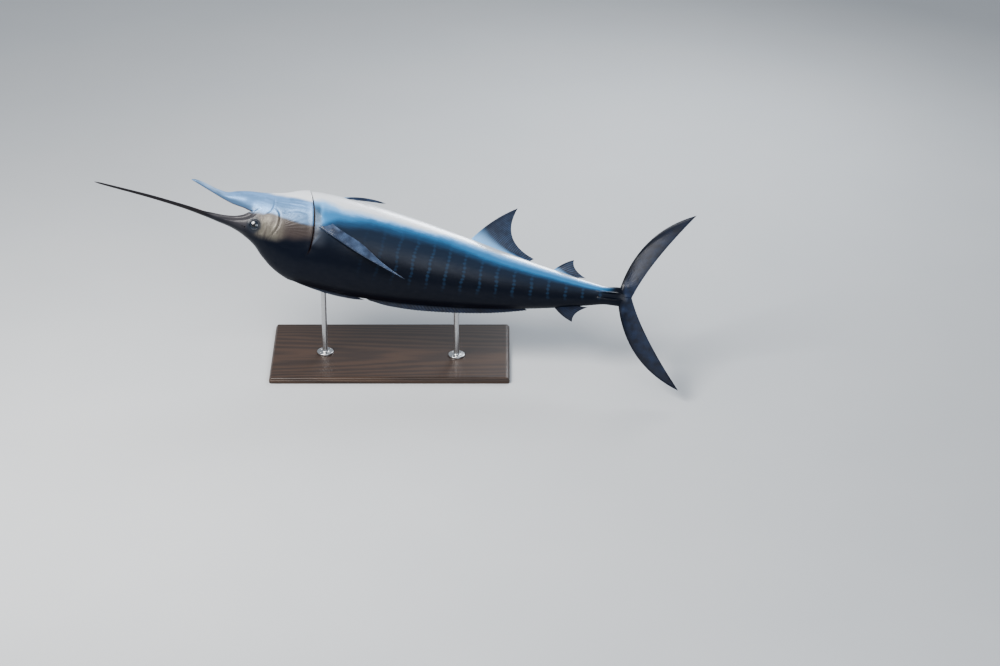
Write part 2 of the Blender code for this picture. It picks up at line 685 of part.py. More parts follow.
def make_fins(body_cutter):
    """Every fin, each cut to the body by the gap. A swept fin's three numbers are its ray_rise, web_half and
    lead_half."""
    blade = (0.0024, 0.0021, 0.0052)
    small = (0.0018, 0.0017, 0.0040)
    fins = [
        dorsal_front(),
        dorsal_rear(),
        sickle("dorsal_fin_second", (1.668, 1.785), back, 1, *SMALL_SICKLE, 6, 5, small),
        sickle("anal_fin_first", (1.160, 1.500), belly, -1, *LARGE_SICKLE, 12, 7, blade),
        sickle("anal_fin_second", (1.636, 1.755), belly, -1, *SMALL_SICKLE, 6, 5, small),
        caudal_lobe("tail_fin_back_lobe", 1),
        caudal_lobe("tail_fin_belly_lobe", -1),
        pectoral("pectoral_fin_right", 1),
        pectoral("pectoral_fin_left", -1),
        pelvic("pelvic_fin_right", 1),
        pelvic("pelvic_fin_left", -1),
    ]
    return [applied(f, [fattened(body_cutter, 0.0)], "DIFFERENCE") for f in fins]


# The stand
BASE_SIZE = (1.300, 0.640, 0.032)
BASE_BEVEL = 0.006
ROD_RADIUS = 0.014
FOOT_RADIUS = 0.045
FOOT_HEIGHT = 0.009
FOOT_CHAMFER = 0.002
FILLET = ((0.006, 0.0), (0.002, 0.003), (0.0, 0.010))  # beyond the rod's radius, and above the foot
ROD_SIDES = 24
RODS = {"front": (-0.360, -0.020), "rear": (0.360, -0.055)}  # where each rod stands


def make_base():
    """The flat base, its edges rounded."""
    shape = bmesh.new()
    bmesh.ops.create_cube(shape, size=1.0)
    for vertex in shape.verts:
        vertex.co = Vector([c * s for c, s in zip(vertex.co, BASE_SIZE)])
        vertex.co.z += BASE_SIZE[2] / 2
    mesh = bpy.data.meshes.new("stand_base")
    shape.to_mesh(mesh)
    shape.free()
    base = bpy.data.objects.new("stand_base", mesh)
    bpy.context.scene.collection.objects.link(base)
    bevel = base.modifiers.new("edges", "BEVEL")
    bevel.width = BASE_BEVEL
    bevel.segments = 3
    return base


def make_rod(word, place, fish_cutter):
    """A rod turned in one piece with its foot, its top cut to the fish's side."""
    bottom = BASE_SIZE[2] + GAP
    foot_top = bottom + FOOT_HEIGHT
    inside_fish = EYE_PLACE[2] + 0.05
    profile = [
        (FOOT_RADIUS, bottom),
        (FOOT_RADIUS, foot_top - FOOT_CHAMFER),
        (FOOT_RADIUS - FOOT_CHAMFER, foot_top),
    ]
    profile += [(ROD_RADIUS + wider, foot_top + above) for wider, above in FILLET]
    profile.append((ROD_RADIUS, inside_fish))
    angle = 2 * math.pi * np.arange(ROD_SIDES) / ROD_SIDES
    rings = [
        np.stack([place[0] + r * np.cos(angle), place[1] + r * np.sin(angle), np.full(ROD_SIDES, z)], axis=1)
        for r, z in profile
    ]
    rod = loft(f"stand_rod_{word}", rings)
    return applied(rod, [fattened(fish_cutter, 0.0)], "DIFFERENCE")


def main():
    """Builds every piece, poses it, and hangs it under the fish or the stand."""
    for obj in list(bpy.data.objects):
        bpy.data.objects.remove(obj)
    fish = bpy.data.objects.new("marlin", None)
    stand = bpy.data.objects.new("display_stand", None)
    for empty in (fish, stand):
        bpy.context.scene.collection.objects.link(empty)

    bill_end = BILL_ROOT - GAP / 2
    bill_stations = np.concatenate([np.linspace(-BILL_REACH, -0.86, 3), np.linspace(-0.80, bill_end, 13)])
    front = np.concatenate([[GILL_EDGE + GAP / 2], np.linspace(0.335, TRUNK_JOINT - GAP / 2, 12)])
    rear = np.linspace(TRUNK_JOINT + GAP / 2, STALK_JOINT - GAP / 2, 14)
    stalk = np.concatenate([np.linspace(STALK_JOINT + GAP / 2, 1.88, 9), np.linspace(1.905, STALK_END, 9)])
    whole_stations = [head_stations()[:-1], [GILL_EDGE], front[1:-1], rear, stalk[1:]]
    whole = body_piece("whole", np.concatenate(whole_stations))
    body_cutter = fattened(whole, GAP)
    bpy.data.objects.remove(whole)

    head, covers, eye_out = make_head()
    jaw = make_jaw(fattened(body_cutter, 0.0))
    pieces = [
        (body_piece("bill", bill_stations, BILL_SIDES), "bill_skin"),
        (head, "cheek_skin"),
        (covers["right"], "cheek_skin"),
        (covers["left"], "cheek_skin"),
        (jaw, "silver_skin"),
        (body_piece("trunk_front", front), "back_skin"),
        (body_piece("trunk_rear", rear), "back_skin"),
        (body_piece("tail_stalk", stalk), "back_skin"),
    ]
    for side, word in ((1, "right"), (-1, "left")):
        eye = ball(f"eye_{word}", (0, side * eye_out, 0), (EYE_RADIUS,) * 3)
        pieces.append((eye, "eye"))
    for made in make_fins(body_cutter):
        pieces.append((made, "pectoral_skin" if "pectoral" in made.name else "fin_skin"))

    fish_cutter = pose(fattened(body_cutter, 0.0))
    bpy.data.objects.remove(body_cutter)
    for obj, look in pieces:
        finish(pose(obj), look, fish)
    finish(make_base(), "stand_wood", stand)
    for word, place in RODS.items():
        finish(make_rod(word, place, fish_cutter), "stand_steel", stand)
    bpy.data.objects.remove(fish_cutter)


main()
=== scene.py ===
# %% [markdown]
# # A blue marlin on a stand
#
# This is a life-size museum model of a blue marlin, held in the moment when it rolls belly up with its
# mouth open. The solid model loaded first has the right shape in plain pieces. Here one fine skin takes the
# place of all its pieces of flesh, and finer eyes, fins, rods and base take the place of the rest.

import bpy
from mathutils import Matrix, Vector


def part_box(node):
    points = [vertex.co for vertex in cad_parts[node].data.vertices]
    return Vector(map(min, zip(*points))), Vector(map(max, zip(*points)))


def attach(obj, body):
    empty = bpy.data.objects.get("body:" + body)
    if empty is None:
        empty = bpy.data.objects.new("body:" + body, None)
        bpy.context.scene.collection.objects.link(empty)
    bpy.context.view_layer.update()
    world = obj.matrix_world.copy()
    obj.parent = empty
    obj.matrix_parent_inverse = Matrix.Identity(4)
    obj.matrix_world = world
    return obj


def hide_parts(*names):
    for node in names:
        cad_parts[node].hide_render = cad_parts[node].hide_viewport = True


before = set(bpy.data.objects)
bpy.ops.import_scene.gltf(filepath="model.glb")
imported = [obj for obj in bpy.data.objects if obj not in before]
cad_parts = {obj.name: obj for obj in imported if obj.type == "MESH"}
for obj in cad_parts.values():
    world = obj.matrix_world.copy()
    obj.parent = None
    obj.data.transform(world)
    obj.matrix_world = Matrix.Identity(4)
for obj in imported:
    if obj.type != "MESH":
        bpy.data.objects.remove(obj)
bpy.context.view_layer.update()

# %% [markdown]
# ## Smooth lines
#
# A fish is drawn from a few measured sections, and the skin between them has to be fair, with no bulge that
# nobody asked for. An ordinary cubic overshoots where sections change fast, as at the brow. The line below
# picks each point's slope from its two neighbours so that it never does.

# %% Lines through sections
import math

import bmesh
import bpy
import numpy as np
from mathutils import Matrix, Vector


def through(stations, values):
    """A smooth line through values at stations, with no overshoot.

    Between two points it is a cubic, h00*y0 + h10*step*m0 + h01*y1 + h11*step*m1, where each slope m is the
    harmonic mean of the slopes on its two sides, or 0 where they differ in sign.
    """
    x, y = np.asarray(stations, float), np.asarray(values, float)
    step = np.diff(x)
    slope = np.diff(y) / step
    tangent = np.zeros_like(y)
    tangent[0], tangent[-1] = slope[0], slope[-1]
    rising = slope[:-1] * slope[1:] > 0
    before, after = slope[:-1][rising], slope[1:][rising]
    tangent[1:-1][rising] = 2 * before * after / (before + after)

    def at(where):
        where = np.clip(where, x[0], x[-1])
        i = np.clip(np.searchsorted(x, where) - 1, 0, len(step) - 1)
        t = (where - x[i]) / step[i]
        return (
            (1 + 2 * t) * (1 - t) ** 2 * y[i]
            + t * (1 - t) ** 2 * step[i] * tangent[i]
            + t**2 * (3 - 2 * t) * y[i + 1]
            + t**2 * (t - 1) * step[i] * tangent[i + 1]
        )

    return at


def eased(value, start, end):
    """0 before start, 1 after end, and t*t*(3 - 2*t) between, where t is the share of the way."""
    t = np.clip((value - start) / (end - start), 0, 1)
    return t * t * (3 - 2 * t)


def between(value, rise, fall):
    """0, then eased up to 1 over the span rise, and back down to 0 over the span fall."""
    return eased(value, *rise) * (1 - eased(value, *fall))


def bell(distance, width):
    """1 where the distance is 0, and less to either side: exp(-(distance / width)^2)."""
    return np.exp(-((distance / width) ** 2))


def bezier(a, b, c, t):
    """A curve from a to c, drawn towards b: (1-t)^2 a + 2t(1-t) b + t^2 c."""
    t = np.asarray(t)[..., None]
    return (1 - t) ** 2 * np.array(a) + 2 * t * (1 - t) * np.array(b) + t**2 * np.array(c)


print("halfway up a step:", float(eased(0.5, 0, 1)))

# %% [markdown]
# ## The fish's own frame, and its pose
#
# Everything is first worked out on a straight fish: station a runs from the eye towards the tail, r to the
# fish's right and v towards its back. A straight fish is easy to measure and its two sides are alike. One
# function then bends and rolls finished points into place, so skin, fins and eyes all stay together.

# %% Sizes and pose
FORK = 2.076  # the fork of the tail
BILL_REACH = 0.875  # eye to the bill's tip
GILL_EDGE = 0.312  # rear edge of the gill cover
STALK_END = FORK - 0.006
CORNER = -0.021  # the mouth's corner
JAW_TIP = -0.378
TIP = 0.0016  # bill, jaw and stalk each end in a point this far beyond their last section
PITCH, ROLL = math.radians(15.8), math.radians(28.0)
SWING, ARCH = math.radians(24.0), math.radians(8.0)
SWING_SPAN = (0.45, 2.20)
EYE_PLACE = np.array([-0.727, 0.011, 0.790])


def axis_line():
    """Stations along the bent fish, and at each its axis point, its right and its back.

    The axis turns by the eased share of SWING and ARCH, and its points are the running sum of its
    direction.
    """
    station = np.linspace(-1.0, 2.6, 721)
    share = eased(station, *SWING_SPAN)
    swing, arch = SWING * share, ARCH * share
    along = np.stack([np.cos(swing) * np.cos(arch), np.sin(swing) * np.cos(arch), -np.sin(arch)], axis=1)
    right = np.stack([-np.sin(swing), np.cos(swing), np.zeros_like(swing)], axis=1)
    middle = (along[1:] + along[:-1]) / 2 * np.diff(station)[:, None]
    point = np.concatenate([np.zeros((1, 3)), np.cumsum(middle, axis=0)])
    eye = np.array([np.interp(0.0, station, point[:, i]) for i in range(3)])
    return station, point - eye, right, np.cross(along, right)


def world_frame():
    """Columns: where the fish's a, r and v point in the world before it bends."""
    tailward = np.array([math.cos(PITCH), 0.0, -math.sin(PITCH)])
    down = np.array([-math.sin(PITCH), 0.0, -math.cos(PITCH)])
    towards_back = math.cos(ROLL) * down + math.sin(ROLL) * np.array([0.0, -1.0, 0.0])
    return np.stack([tailward, np.cross(towards_back, tailward), towards_back], axis=1)


AXIS, WORLD = axis_line(), world_frame()


def posed(points):
    """Points (a, r, v) of the straight fish, in the world: the axis point at a, plus r and v along its own
    sides."""
    flat = np.asarray(points, float).reshape(-1, 3)
    centre, side, height = (
        np.stack([np.interp(flat[:, 0], AXIS[0], part[:, i]) for i in range(3)], axis=1) for part in AXIS[1:]
    )
    bent = centre + flat[:, 1:2] * side + flat[:, 2:3] * height
    return (EYE_PLACE + bent @ WORLD.T).reshape(np.shape(points))


print("bill tip at", posed([-BILL_REACH, 0, -0.018]).round(3), "and fork at", posed([FORK, 0, 0]).round(3))

# %% [markdown]
# ## Sections of the fish
#
# A section is half an oval whose upper and lower parts have their own reach and sharpness. The head of a
# fish with an open mouth is two tubes that merge: the snout above, and the lower jaw below. So there are
# three tables. The snout's lowest line is the roof of the mouth, and the body's is the throat and belly.

# %% Section tables
# station, back, waist, belly, half width, sharpness of the back and of the belly (1 is an ellipse)
SNOUT = np.array([
    (-BILL_REACH - TIP, -0.0180, -0.0180, -0.0180, 0, 1, 1),
    (-BILL_REACH, -0.0165, -0.0180, -0.0195, 0.0018, 1, 1),
    (-0.840, -0.0135, -0.0180, -0.0225, 0.0056, 1, 1),
    (-0.600, -0.0080, -0.0160, -0.0240, 0.0115, 1, 1),
    (-0.400, 0.0020, -0.0085, -0.0185, 0.0170, 1, 0.90),
    (-0.270, 0.0160, 0.0005, -0.0125, 0.0250, 1, 0.75),
    (-0.190, 0.0280, 0.0060, -0.0125, 0.0350, 1, 0.65),
    (-0.120, 0.0390, 0.0080, -0.0210, 0.0455, 1, 0.60),
    (-0.070, 0.0530, 0.0050, -0.0400, 0.0560, 1, 0.60),
    (-0.030, 0.0700, 0.0000, -0.0620, 0.0650, 1.02, 0.60),
    (0.030, 0.1040, -0.0060, -0.0740, 0.0780, 1.10, 0.60),
])
BODY = np.array([
    (-0.070, 0.0530, 0.0000, -0.1690, 0.0560, 1, 1),
    (-0.030, 0.0700, -0.0020, -0.1770, 0.0650, 1.02, 1),
    (-0.012, 0.0785, -0.0040, -0.1800, 0.0690, 1.05, 1),
    (0.030, 0.1040, -0.0100, -0.1890, 0.0780, 1.10, 1.08),
    (0.086, 0.1530, -0.0150, -0.2020, 0.0920, 1.18, 1.15),
    (0.154, 0.1960, -0.0180, -0.2200, 0.1080, 1.25, 1.15),
    (0.230, 0.2230, -0.0180, -0.2410, 0.1240, 1.26, 1.10),
    (GILL_EDGE, 0.2400, -0.0150, -0.2560, 0.1380, 1.22, 1.05),
    (0.500, 0.2460, -0.0100, -0.2670, 0.1500, 1.15, 1),
    (0.800, 0.2240, -0.0100, -0.2500, 0.1460, 1.10, 1),
    (1.100, 0.1860, -0.0080, -0.2130, 0.1260, 1.08, 1),
    (1.400, 0.1420, -0.0040, -0.1580, 0.0960, 1.05, 1),
    (1.650, 0.1010, 0.0000, -0.1080, 0.0660, 1, 1),
    (1.850, 0.0640, 0.0000, -0.0660, 0.0410, 1, 1),
    (1.960, 0.0480, 0.0000, -0.0490, 0.0300, 1, 1),
    (2.020, 0.0500, 0.0000, -0.0510, 0.0215, 1, 1),
    (2.046, 0.0430, 0.0000, -0.0440, 0.0150, 1, 1),
    (2.062, 0.0280, 0.0000, -0.0290, 0.0085, 1, 1),
    (STALK_END, 0.0080, 0.0000, -0.0085, 0.0030, 1, 1),
    (STALK_END + TIP, 0, 0, 0, 0, 1, 1),
])
# station, height of the rim, of the underside, half width
JAW = np.array([
    (JAW_TIP - TIP, -0.1580, -0.1580, 0),
    (JAW_TIP, -0.1560, -0.1600, 0.0020),
    (-0.355, -0.1490, -0.1640, 0.0085),
    (-0.300, -0.1320, -0.1560, 0.0160),
    (-0.240, -0.1135, -0.1425, 0.0235),
    (-0.186, -0.0975, -0.1370, 0.0300),
    (-0.125, -0.0840, -0.1560, 0.0395),
    (-0.060, -0.0785, -0.1720, 0.0495),
    (0.015, -0.0750, -0.1820, 0.0580),
])


def lines(table):
    """One smooth line through each column of a table, against its first column."""
    return [through(table[:, 0], column) for column in table[:, 1:].T]


SNOUT_LINES, BODY_LINES, JAW_LINES = lines(SNOUT), lines(BODY), lines(JAW)
back, waist, belly = BODY_LINES[:3]


def outline(angle, top, middle, low, width, top_power, low_power):
    """Half an oval, from its top (angle 0) to its lowest point (angle pi), as (side, height).

    side = width * sin(angle)^power and height = middle + reach * cos(angle).
    """
    up = np.cos(angle)
    power = np.where(up >= 0, top_power, low_power)
    reach = np.where(up >= 0, top - middle, middle - low)
    side = width * np.maximum(np.sin(angle), 0) ** power
    return np.stack(np.broadcast_arrays(side, middle + reach * up))


print("depth at the gill edge:", round(float(back(GILL_EDGE) - belly(GILL_EDGE)), 3), "m")

# %% [markdown]
# ## From lips to corner
#
# The flank runs from the back down to the upper lip, and the underside from the lower lip round to the
# belly. Behind the mouth's corner both end on one line, so the two lips are drawn together there: each
# outline's edge is moved towards the mean of the two, by a share that grows from 0 well ahead of the corner
# to 1 at it.

# %% Flank and underside
LIP_ANGLE = math.radians(132)  # where the upper lip lies on the snout's outline
JAW_LIP_ANGLE = math.radians(50)
JAW_MIDDLE = 0.35  # the jaw is widest this share of its depth below its rim
JAW_POWERS = (0.55, 1.15)
CORNER_REACH = 0.055  # the lips start to draw together this far ahead of the corner
KEELS = np.radians([70, 110])
KEEL_HALF_ANGLE = math.radians(5.5)
KEEL_HEIGHT, KEEL_SPAN = 0.012, (1.895, 2.052)
LIP_SPAN = (-0.32, -0.20)  # stations over which the bill gets lips
HANG_FROM = math.radians(96)  # the upper lip hangs free below this angle
STAND_TO = math.radians(88)  # and the jaw's rim stands up above this one
SNOUT_TO_BODY, JAW_TO_BODY = (-0.062, 0.004), (-0.075, 0.035)  # where each outline turns into the body's
UPPER_DRAW, LOWER_DRAW = 6, 4  # how closely the moved edge keeps to itself, as powers of t
mouth_angle = through([-0.07, -0.012, 0.15, 1.0], np.radians([114, 112, 105, 105]))


def lips(s):
    """0 on the bill, 1 where there are lips."""
    return eased(s, *LIP_SPAN)


def keels(s, angle):
    """How far the two tail keels stand out: a bell across each keel, and half a sine wave along it."""
    along = np.sin(math.pi * np.clip((s - KEEL_SPAN[0]) / (KEEL_SPAN[1] - KEEL_SPAN[0]), 0, 1)) ** 1.5
    across = sum(bell(angle - keel, KEEL_HALF_ANGLE) for keel in KEELS)
    return KEEL_HEIGHT * along * across


def free_upper(s, t):
    """The flank before its edge is moved. The lip hangs down as far as the roof of the mouth's lowest
    line."""
    top, middle, low, width, top_power, low_power = (line(s) for line in SNOUT_LINES)
    angle = t * LIP_ANGLE
    snout = outline(angle, top, middle, low, width, top_power, low_power)
    drop = (middle - low) * (1 + math.cos(LIP_ANGLE)) * lips(s)
    snout[1] -= drop * eased(angle, HANG_FROM, LIP_ANGLE)
    body_angle = t * mouth_angle(s)
    body = outline(body_angle, *(line(s) for line in BODY_LINES))
    body[0] += keels(s, body_angle)
    return snout + eased(s, *SNOUT_TO_BODY) * (body - snout)


def free_lower(s, t):
    """The underside before its edge is moved: the jaw's outline, which turns into the body's behind the
    mouth."""
    rim, under, width = (line(s) for line in JAW_LINES)
    middle = rim - JAW_MIDDLE * (rim - under)
    angle = JAW_LIP_ANGLE + t * (math.pi - JAW_LIP_ANGLE)
    jaw = outline(angle, rim, middle, under, width, *JAW_POWERS)
    rise = (rim - middle) * (1 - math.cos(JAW_LIP_ANGLE))
    jaw[1] += rise * (1 - eased(angle, JAW_LIP_ANGLE, STAND_TO))
    start = mouth_angle(s)
    body_angle = start + t * (math.pi - start)
    body = outline(body_angle, *(line(s) for line in BODY_LINES))
    body[0] += keels(s, body_angle)
    return jaw + eased(s, *JAW_TO_BODY) * (body - jaw)


def drawn(s):
    """The share by which the lips are drawn together: 1 - sin(pi/2 * way)^0.8, where way is 0 at the
    corner."""
    way = np.clip((CORNER - s) / CORNER_REACH, 0, 1)
    return 1 - np.sin(math.pi / 2 * way) ** 0.8


def upper(s, t):
    """The right flank, (side, height): t is 0 at the back and 1 at the upper lip or the line behind the
    mouth."""
    one = np.ones_like(t)
    edge = free_upper(s, one)
    meet = (edge + free_lower(s, 0 * one)) / 2
    return free_upper(s, t) + drawn(s) * (meet - edge) * t**UPPER_DRAW


def lower(s, t):
    """The right underside, (side, height): t is 0 at the lower lip or the line behind the mouth, 1 at the
    belly."""
    zero = np.zeros_like(t)
    edge = free_lower(s, zero)
    meet = (edge + free_upper(s, zero + 1)) / 2
    return free_lower(s, t) + drawn(s) * (meet - edge) * (1 - t) ** LOWER_DRAW


GILL_BOW, GILL_REARMOST = 0.83, 0.02
BOW_SPAN = (0.08, 0.62)  # stations where the bow starts and ends


def bow(s, height):
    """How far a station bows forward at a height: GILL_BOW * (height - GILL_REARMOST)^2, most at the gill's
    edge."""
    share = between(s, (BOW_SPAN[0], GILL_EDGE), (GILL_EDGE, BOW_SPAN[1]))
    return GILL_BOW * share * (height - GILL_REARMOST) ** 2


def at_station(s, section):
    """(side, height) at station s as points (a, r, v). Behind the head, stations bow forward above and
    below, so that one of them is the curved rear edge of the gill cover."""
    side, height = section
    return np.stack(np.broadcast_arrays(s - bow(s, height), side, height), axis=-1)


print("half width behind the mouth:", round(float(upper(np.array(0.03), np.array(1.0))[0]), 4), "m")

# %% [markdown]
# ## Rows and columns of the skin
#
# The skin is a grid: rows are stations, columns run along the fish. Rows lie 3 mm apart on the head, where
# the detail is, and much further apart on the trunk. Columns are spaced evenly round the section at the
# eye.
#
# A gill cover ends in a free edge with a deep slit behind it. Rows can fold back for that: near the edge
# each has its own station and its own height above the skin, and together they draw the lip and the slit's
# walls.

# %% Stations and columns
HEAD_STEP, HEAD_START, HEAD_ROWS = 0.003, -0.081, 118
MOUTH_END = -0.085  # the last row ahead of those
POINTED = TIP * np.array([1, 0.85, 0.5])  # rows that close the point of bill, jaw or stalk
head_rows = HEAD_START + HEAD_STEP * np.arange(HEAD_ROWS)
bill_rows = np.linspace(-BILL_REACH, -0.275, 42)
front_rows = np.concatenate([-BILL_REACH - POINTED, bill_rows, np.linspace(-0.27, MOUTH_END, 38)])
chin_rows = np.linspace(JAW_TIP, -0.365, 5)
jaw_rows = np.concatenate([JAW_TIP - POINTED, chin_rows, np.linspace(-0.360, MOUTH_END, 57)])
# station where the skin isn't free, station where it is, height above the skin
GILL_FOLD = np.array([
    (0.2760, 0.2760, 0.0000), (0.2830, 0.2830, 0.0002), (0.2890, 0.2890, 0.0006), (0.2945, 0.2945, 0.0012),
    (0.2995, 0.2995, 0.0019), (0.3035, 0.3035, 0.0025), (0.3065, 0.3070, 0.0029), (0.3090, 0.3097, 0.0030),
    (0.3108, 0.3115, 0.0026), (0.3116, 0.3125, 0.0017), (0.3120, 0.3128, 0.0005), (0.3124, 0.3126, -0.0008),
    (0.3128, 0.3118, -0.0022), (0.3132, 0.3104, -0.0038), (0.3136, 0.3090, -0.0056),
    (0.3140, 0.3086, -0.0076), (0.3144, 0.3096, -0.0092), (0.3152, 0.3124, -0.0098),
    (0.3170, 0.3160, -0.0096), (0.3200, 0.3200, -0.0090), (0.3245, 0.3245, -0.0080),
    (0.3300, 0.3300, -0.0068), (0.3365, 0.3365, -0.0055), (0.3440, 0.3440, -0.0042),
    (0.3525, 0.3525, -0.0030), (0.3620, 0.3620, -0.0019), (0.3730, 0.3730, -0.0010),
    (0.3860, 0.3860, -0.0003),
])
trunk_rows, stalk_rows = np.linspace(0.400, 1.880, 92), np.linspace(1.885, STALK_END, 46)
rear_rows = np.concatenate([GILL_FOLD[:, 0], trunk_rows, stalk_rows, STALK_END + POINTED[::-1]])
UPPER_COLUMNS, LOWER_COLUMNS = 66, 36


def even_columns(outline_at, count):
    """Values of t, count of them, that split an outline into equal lengths: its running length, read
    backwards."""
    fine = np.linspace(0, 1, 400)
    side, height = outline_at(0 * fine, fine)
    length = np.concatenate([[0], np.cumsum(np.hypot(np.diff(side), np.diff(height)))])
    return np.interp(np.linspace(0, length[-1], count), length, fine)


upper_t, lower_t = even_columns(upper, UPPER_COLUMNS), even_columns(lower, LOWER_COLUMNS)
print(len(front_rows) + len(head_rows) + len(rear_rows), "rows")

# %% [markdown]
# ## The two walls of the head and trunk
#
# Behind the corner the two sheets share their line. The fold of the gill is made on both at once, so that
# they still meet: each point slides to its free station and moves out along the outline's own normal, by as
# much as the skin is free there. The slit closes towards the shoulder.

# %% Upper and lower sheets
SLIT_CLOSES = (0.045, 0.105)  # heights over which the slit closes towards the shoulder
SLIT_THROAT, THROAT_FREE = (-0.25, -0.20), 0.45  # below these heights the skin is only this free
SLIT_DEEP, SLIT_LEFT = (0.001, 0.005), (0.316, 0.328)  # how far in counts as deep, and where the slit ends


def rows_of(section_at, stations, columns):
    """A sheet of points: every station against every column."""
    s, t = np.meshgrid(stations, columns, indexing="ij")
    return at_station(s, section_at(s, t))


def folded(sheet, stations, fold):
    """The sheet with its first rows folded. A point moves by free * (station - s) along the fish, and by
    free * height along the outline's normal, which is its tangent turned by a quarter. The second result is
    how deep in the slit each point lies, from 0 to 1."""
    rows = len(fold)
    part = sheet[:rows]
    tangent = np.gradient(part[..., 1:], axis=1)
    normal = np.stack([-tangent[..., 1], tangent[..., 0]], axis=-1)
    normal /= np.linalg.norm(normal, axis=-1, keepdims=True)
    normal[:, -1] = (0, -1)
    height = part[..., 2]
    free = THROAT_FREE + (1 - THROAT_FREE) * eased(height, *SLIT_THROAT)
    free = (1 - eased(height, *SLIT_CLOSES)) * free
    part[..., 0] += free * (fold[:, 1] - stations[:rows])[:, None]
    part[..., 1:] += normal * (free * fold[:, 2:3])[..., None]
    shade = eased(-fold[:, 2], *SLIT_DEEP) * (1 - eased(fold[:, 0], *SLIT_LEFT))
    deep = np.zeros(sheet.shape[:2])
    deep[:rows] = free * shade[:, None]
    return sheet, deep


upper_rows = np.concatenate([front_rows, head_rows, rear_rows])
lower_rows = np.concatenate([jaw_rows, head_rows, rear_rows])
upper_sheet = rows_of(upper, upper_rows, upper_t)
lower_sheet = rows_of(lower, lower_rows, lower_t)
rear = np.concatenate([upper_sheet[-len(rear_rows):], lower_sheet[-len(rear_rows):, 1:]], axis=1)
rear, slit = folded(rear, rear_rows, GILL_FOLD)
upper_sheet[-len(rear_rows):] = rear[:, :UPPER_COLUMNS]
lower_sheet[-len(rear_rows):] = rear[:, UPPER_COLUMNS - 1:]
print("sheets:", upper_sheet.shape[:2], lower_sheet.shape[:2])

# %% [markdown]
# ## The inside of the mouth
#
# A billfish has no big teeth. The roof of its mouth is a shallow vault between two soft lips, the floor a
# trough with a flat tongue, and both run back into the gullet. Roof and floor are sheets from lip to
# middle. The gullet carries their last row on, smaller and smaller, until it closes.

# %% Palate, floor and gullet
PALATE_COLUMNS, FLOOR_COLUMNS = 16, 18
GULLET_LENGTH, GULLET_RINGS, GULLET_WAY = 0.105, 18, np.array([0.95, 0.0, -0.30])
VAULT_BILL, VAULT_MOUTH = 0.004, 0.010  # height of the palate's vault at the bill, and how much it gains
VAULT_GAINS, VAULT_RISES = (-0.20, -0.05), (0.05, 0.50)  # the stations, and shares of the way in from the lip
PALATE_RIDGE, RIDGE_WIDTH, RIDGE_STARTS = 0.0022, 0.10, (-0.2, -0.1)
# depth of the floor under the lip, and the stations over which it is reached, in three stages
TROUGH = [(0.0025, (JAW_TIP - TIP, -0.36)), (0.0110, (-0.35, -0.22)), (0.0070, (-0.16, -0.04))]
TROUGH_WALL = (0.05, 0.42)  # shares of the way in from the lip over which the floor sinks
TONGUE, TONGUE_TIP, TONGUE_EDGE = 0.0085, (-0.185, -0.150), (0.30, 0.52)
CREASE, CREASE_WIDTH = 0.0016, 0.05


def palate(s, x):
    """The roof of the mouth, (side, height), from the middle (x 0) to the lip (x 1).

    On the bill it is the underside of the oval. In the mouth, side = x * lip's side, and the height rises
    from the lip by the vault, eased, with a low ridge along the middle.
    """
    section = [line(s) for line in SNOUT_LINES]
    lip = upper(s, np.ones_like(x))
    bill = outline(math.pi - (math.pi - LIP_ANGLE) * x, *section)
    bill += (lip - outline(LIP_ANGLE + 0 * x, *section)) * x**2
    vault = VAULT_BILL + VAULT_MOUTH * eased(s, *VAULT_GAINS)
    ridge_here = PALATE_RIDGE * bell(x, RIDGE_WIDTH) * eased(s, *RIDGE_STARTS)
    height = lip[1] + vault * eased(1 - x, *VAULT_RISES) - ridge_here
    mouth = np.stack([x * lip[0], height])
    return bill + lips(s) * (mouth - bill)


def floor(s, x):
    """The floor of the mouth, (side, height), from the middle (x 0) to the lip (x 1): a trough below the
    lip, with the tongue a flat bell in it."""
    lip = lower(s, np.zeros_like(x))
    trough = sum(depth * eased(s, *span) for depth, span in TROUGH)
    tongue = TONGUE * eased(s, *TONGUE_TIP) * (1 - eased(x, *TONGUE_EDGE))
    crease = CREASE * bell(x, CREASE_WIDTH) * eased(s, *TONGUE_TIP)
    return np.stack([x * lip[0], lip[1] - trough * eased(1 - x, *TROUGH_WALL) + tongue - crease])


roof_rows = upper_rows[upper_rows <= CORNER + 1e-9]
floor_rows = lower_rows[lower_rows <= CORNER + 1e-9]
palate_x, floor_x = (1 - np.linspace(0, 1, count) ** 1.25 for count in (PALATE_COLUMNS, FLOOR_COLUMNS))
palate_sheet = rows_of(palate, roof_rows, palate_x)
floor_sheet = rows_of(floor, floor_rows, floor_x)
throat_ring = np.concatenate([palate_sheet[-1, ::-1], floor_sheet[-1, 1:]])
ring_middle = np.array([CORNER, 0.0, throat_ring[[0, -1], 2].mean()])
way = np.linspace(0, 1, GULLET_RINGS)[:, None, None]
gullet_sheet = ring_middle + (throat_ring - ring_middle) * (1 - way**2) ** 0.6
gullet_sheet = gullet_sheet + way * GULLET_LENGTH * GULLET_WAY
print("mouth opens", round(float(throat_ring[0, 2] - throat_ring[-1, 2]), 4), "m at its corner")

# %% [markdown]
# ## Eye sockets and nostrils
#
# A round opening cut from a square grid has a ragged edge. Here a block of the grid is left out, and rings
# lead from the block's edge to a true circle, over a raised rim of skin and down into the socket. The eye
# is then a separate ball set in it. A marlin has no eyelids, only this rim. The two small nostrils ahead of
# it are made in the same way.

# %% Rings round an opening
EYE_RING = 0.0236  # radius of the opening
EYE_BLOCK = 0.039
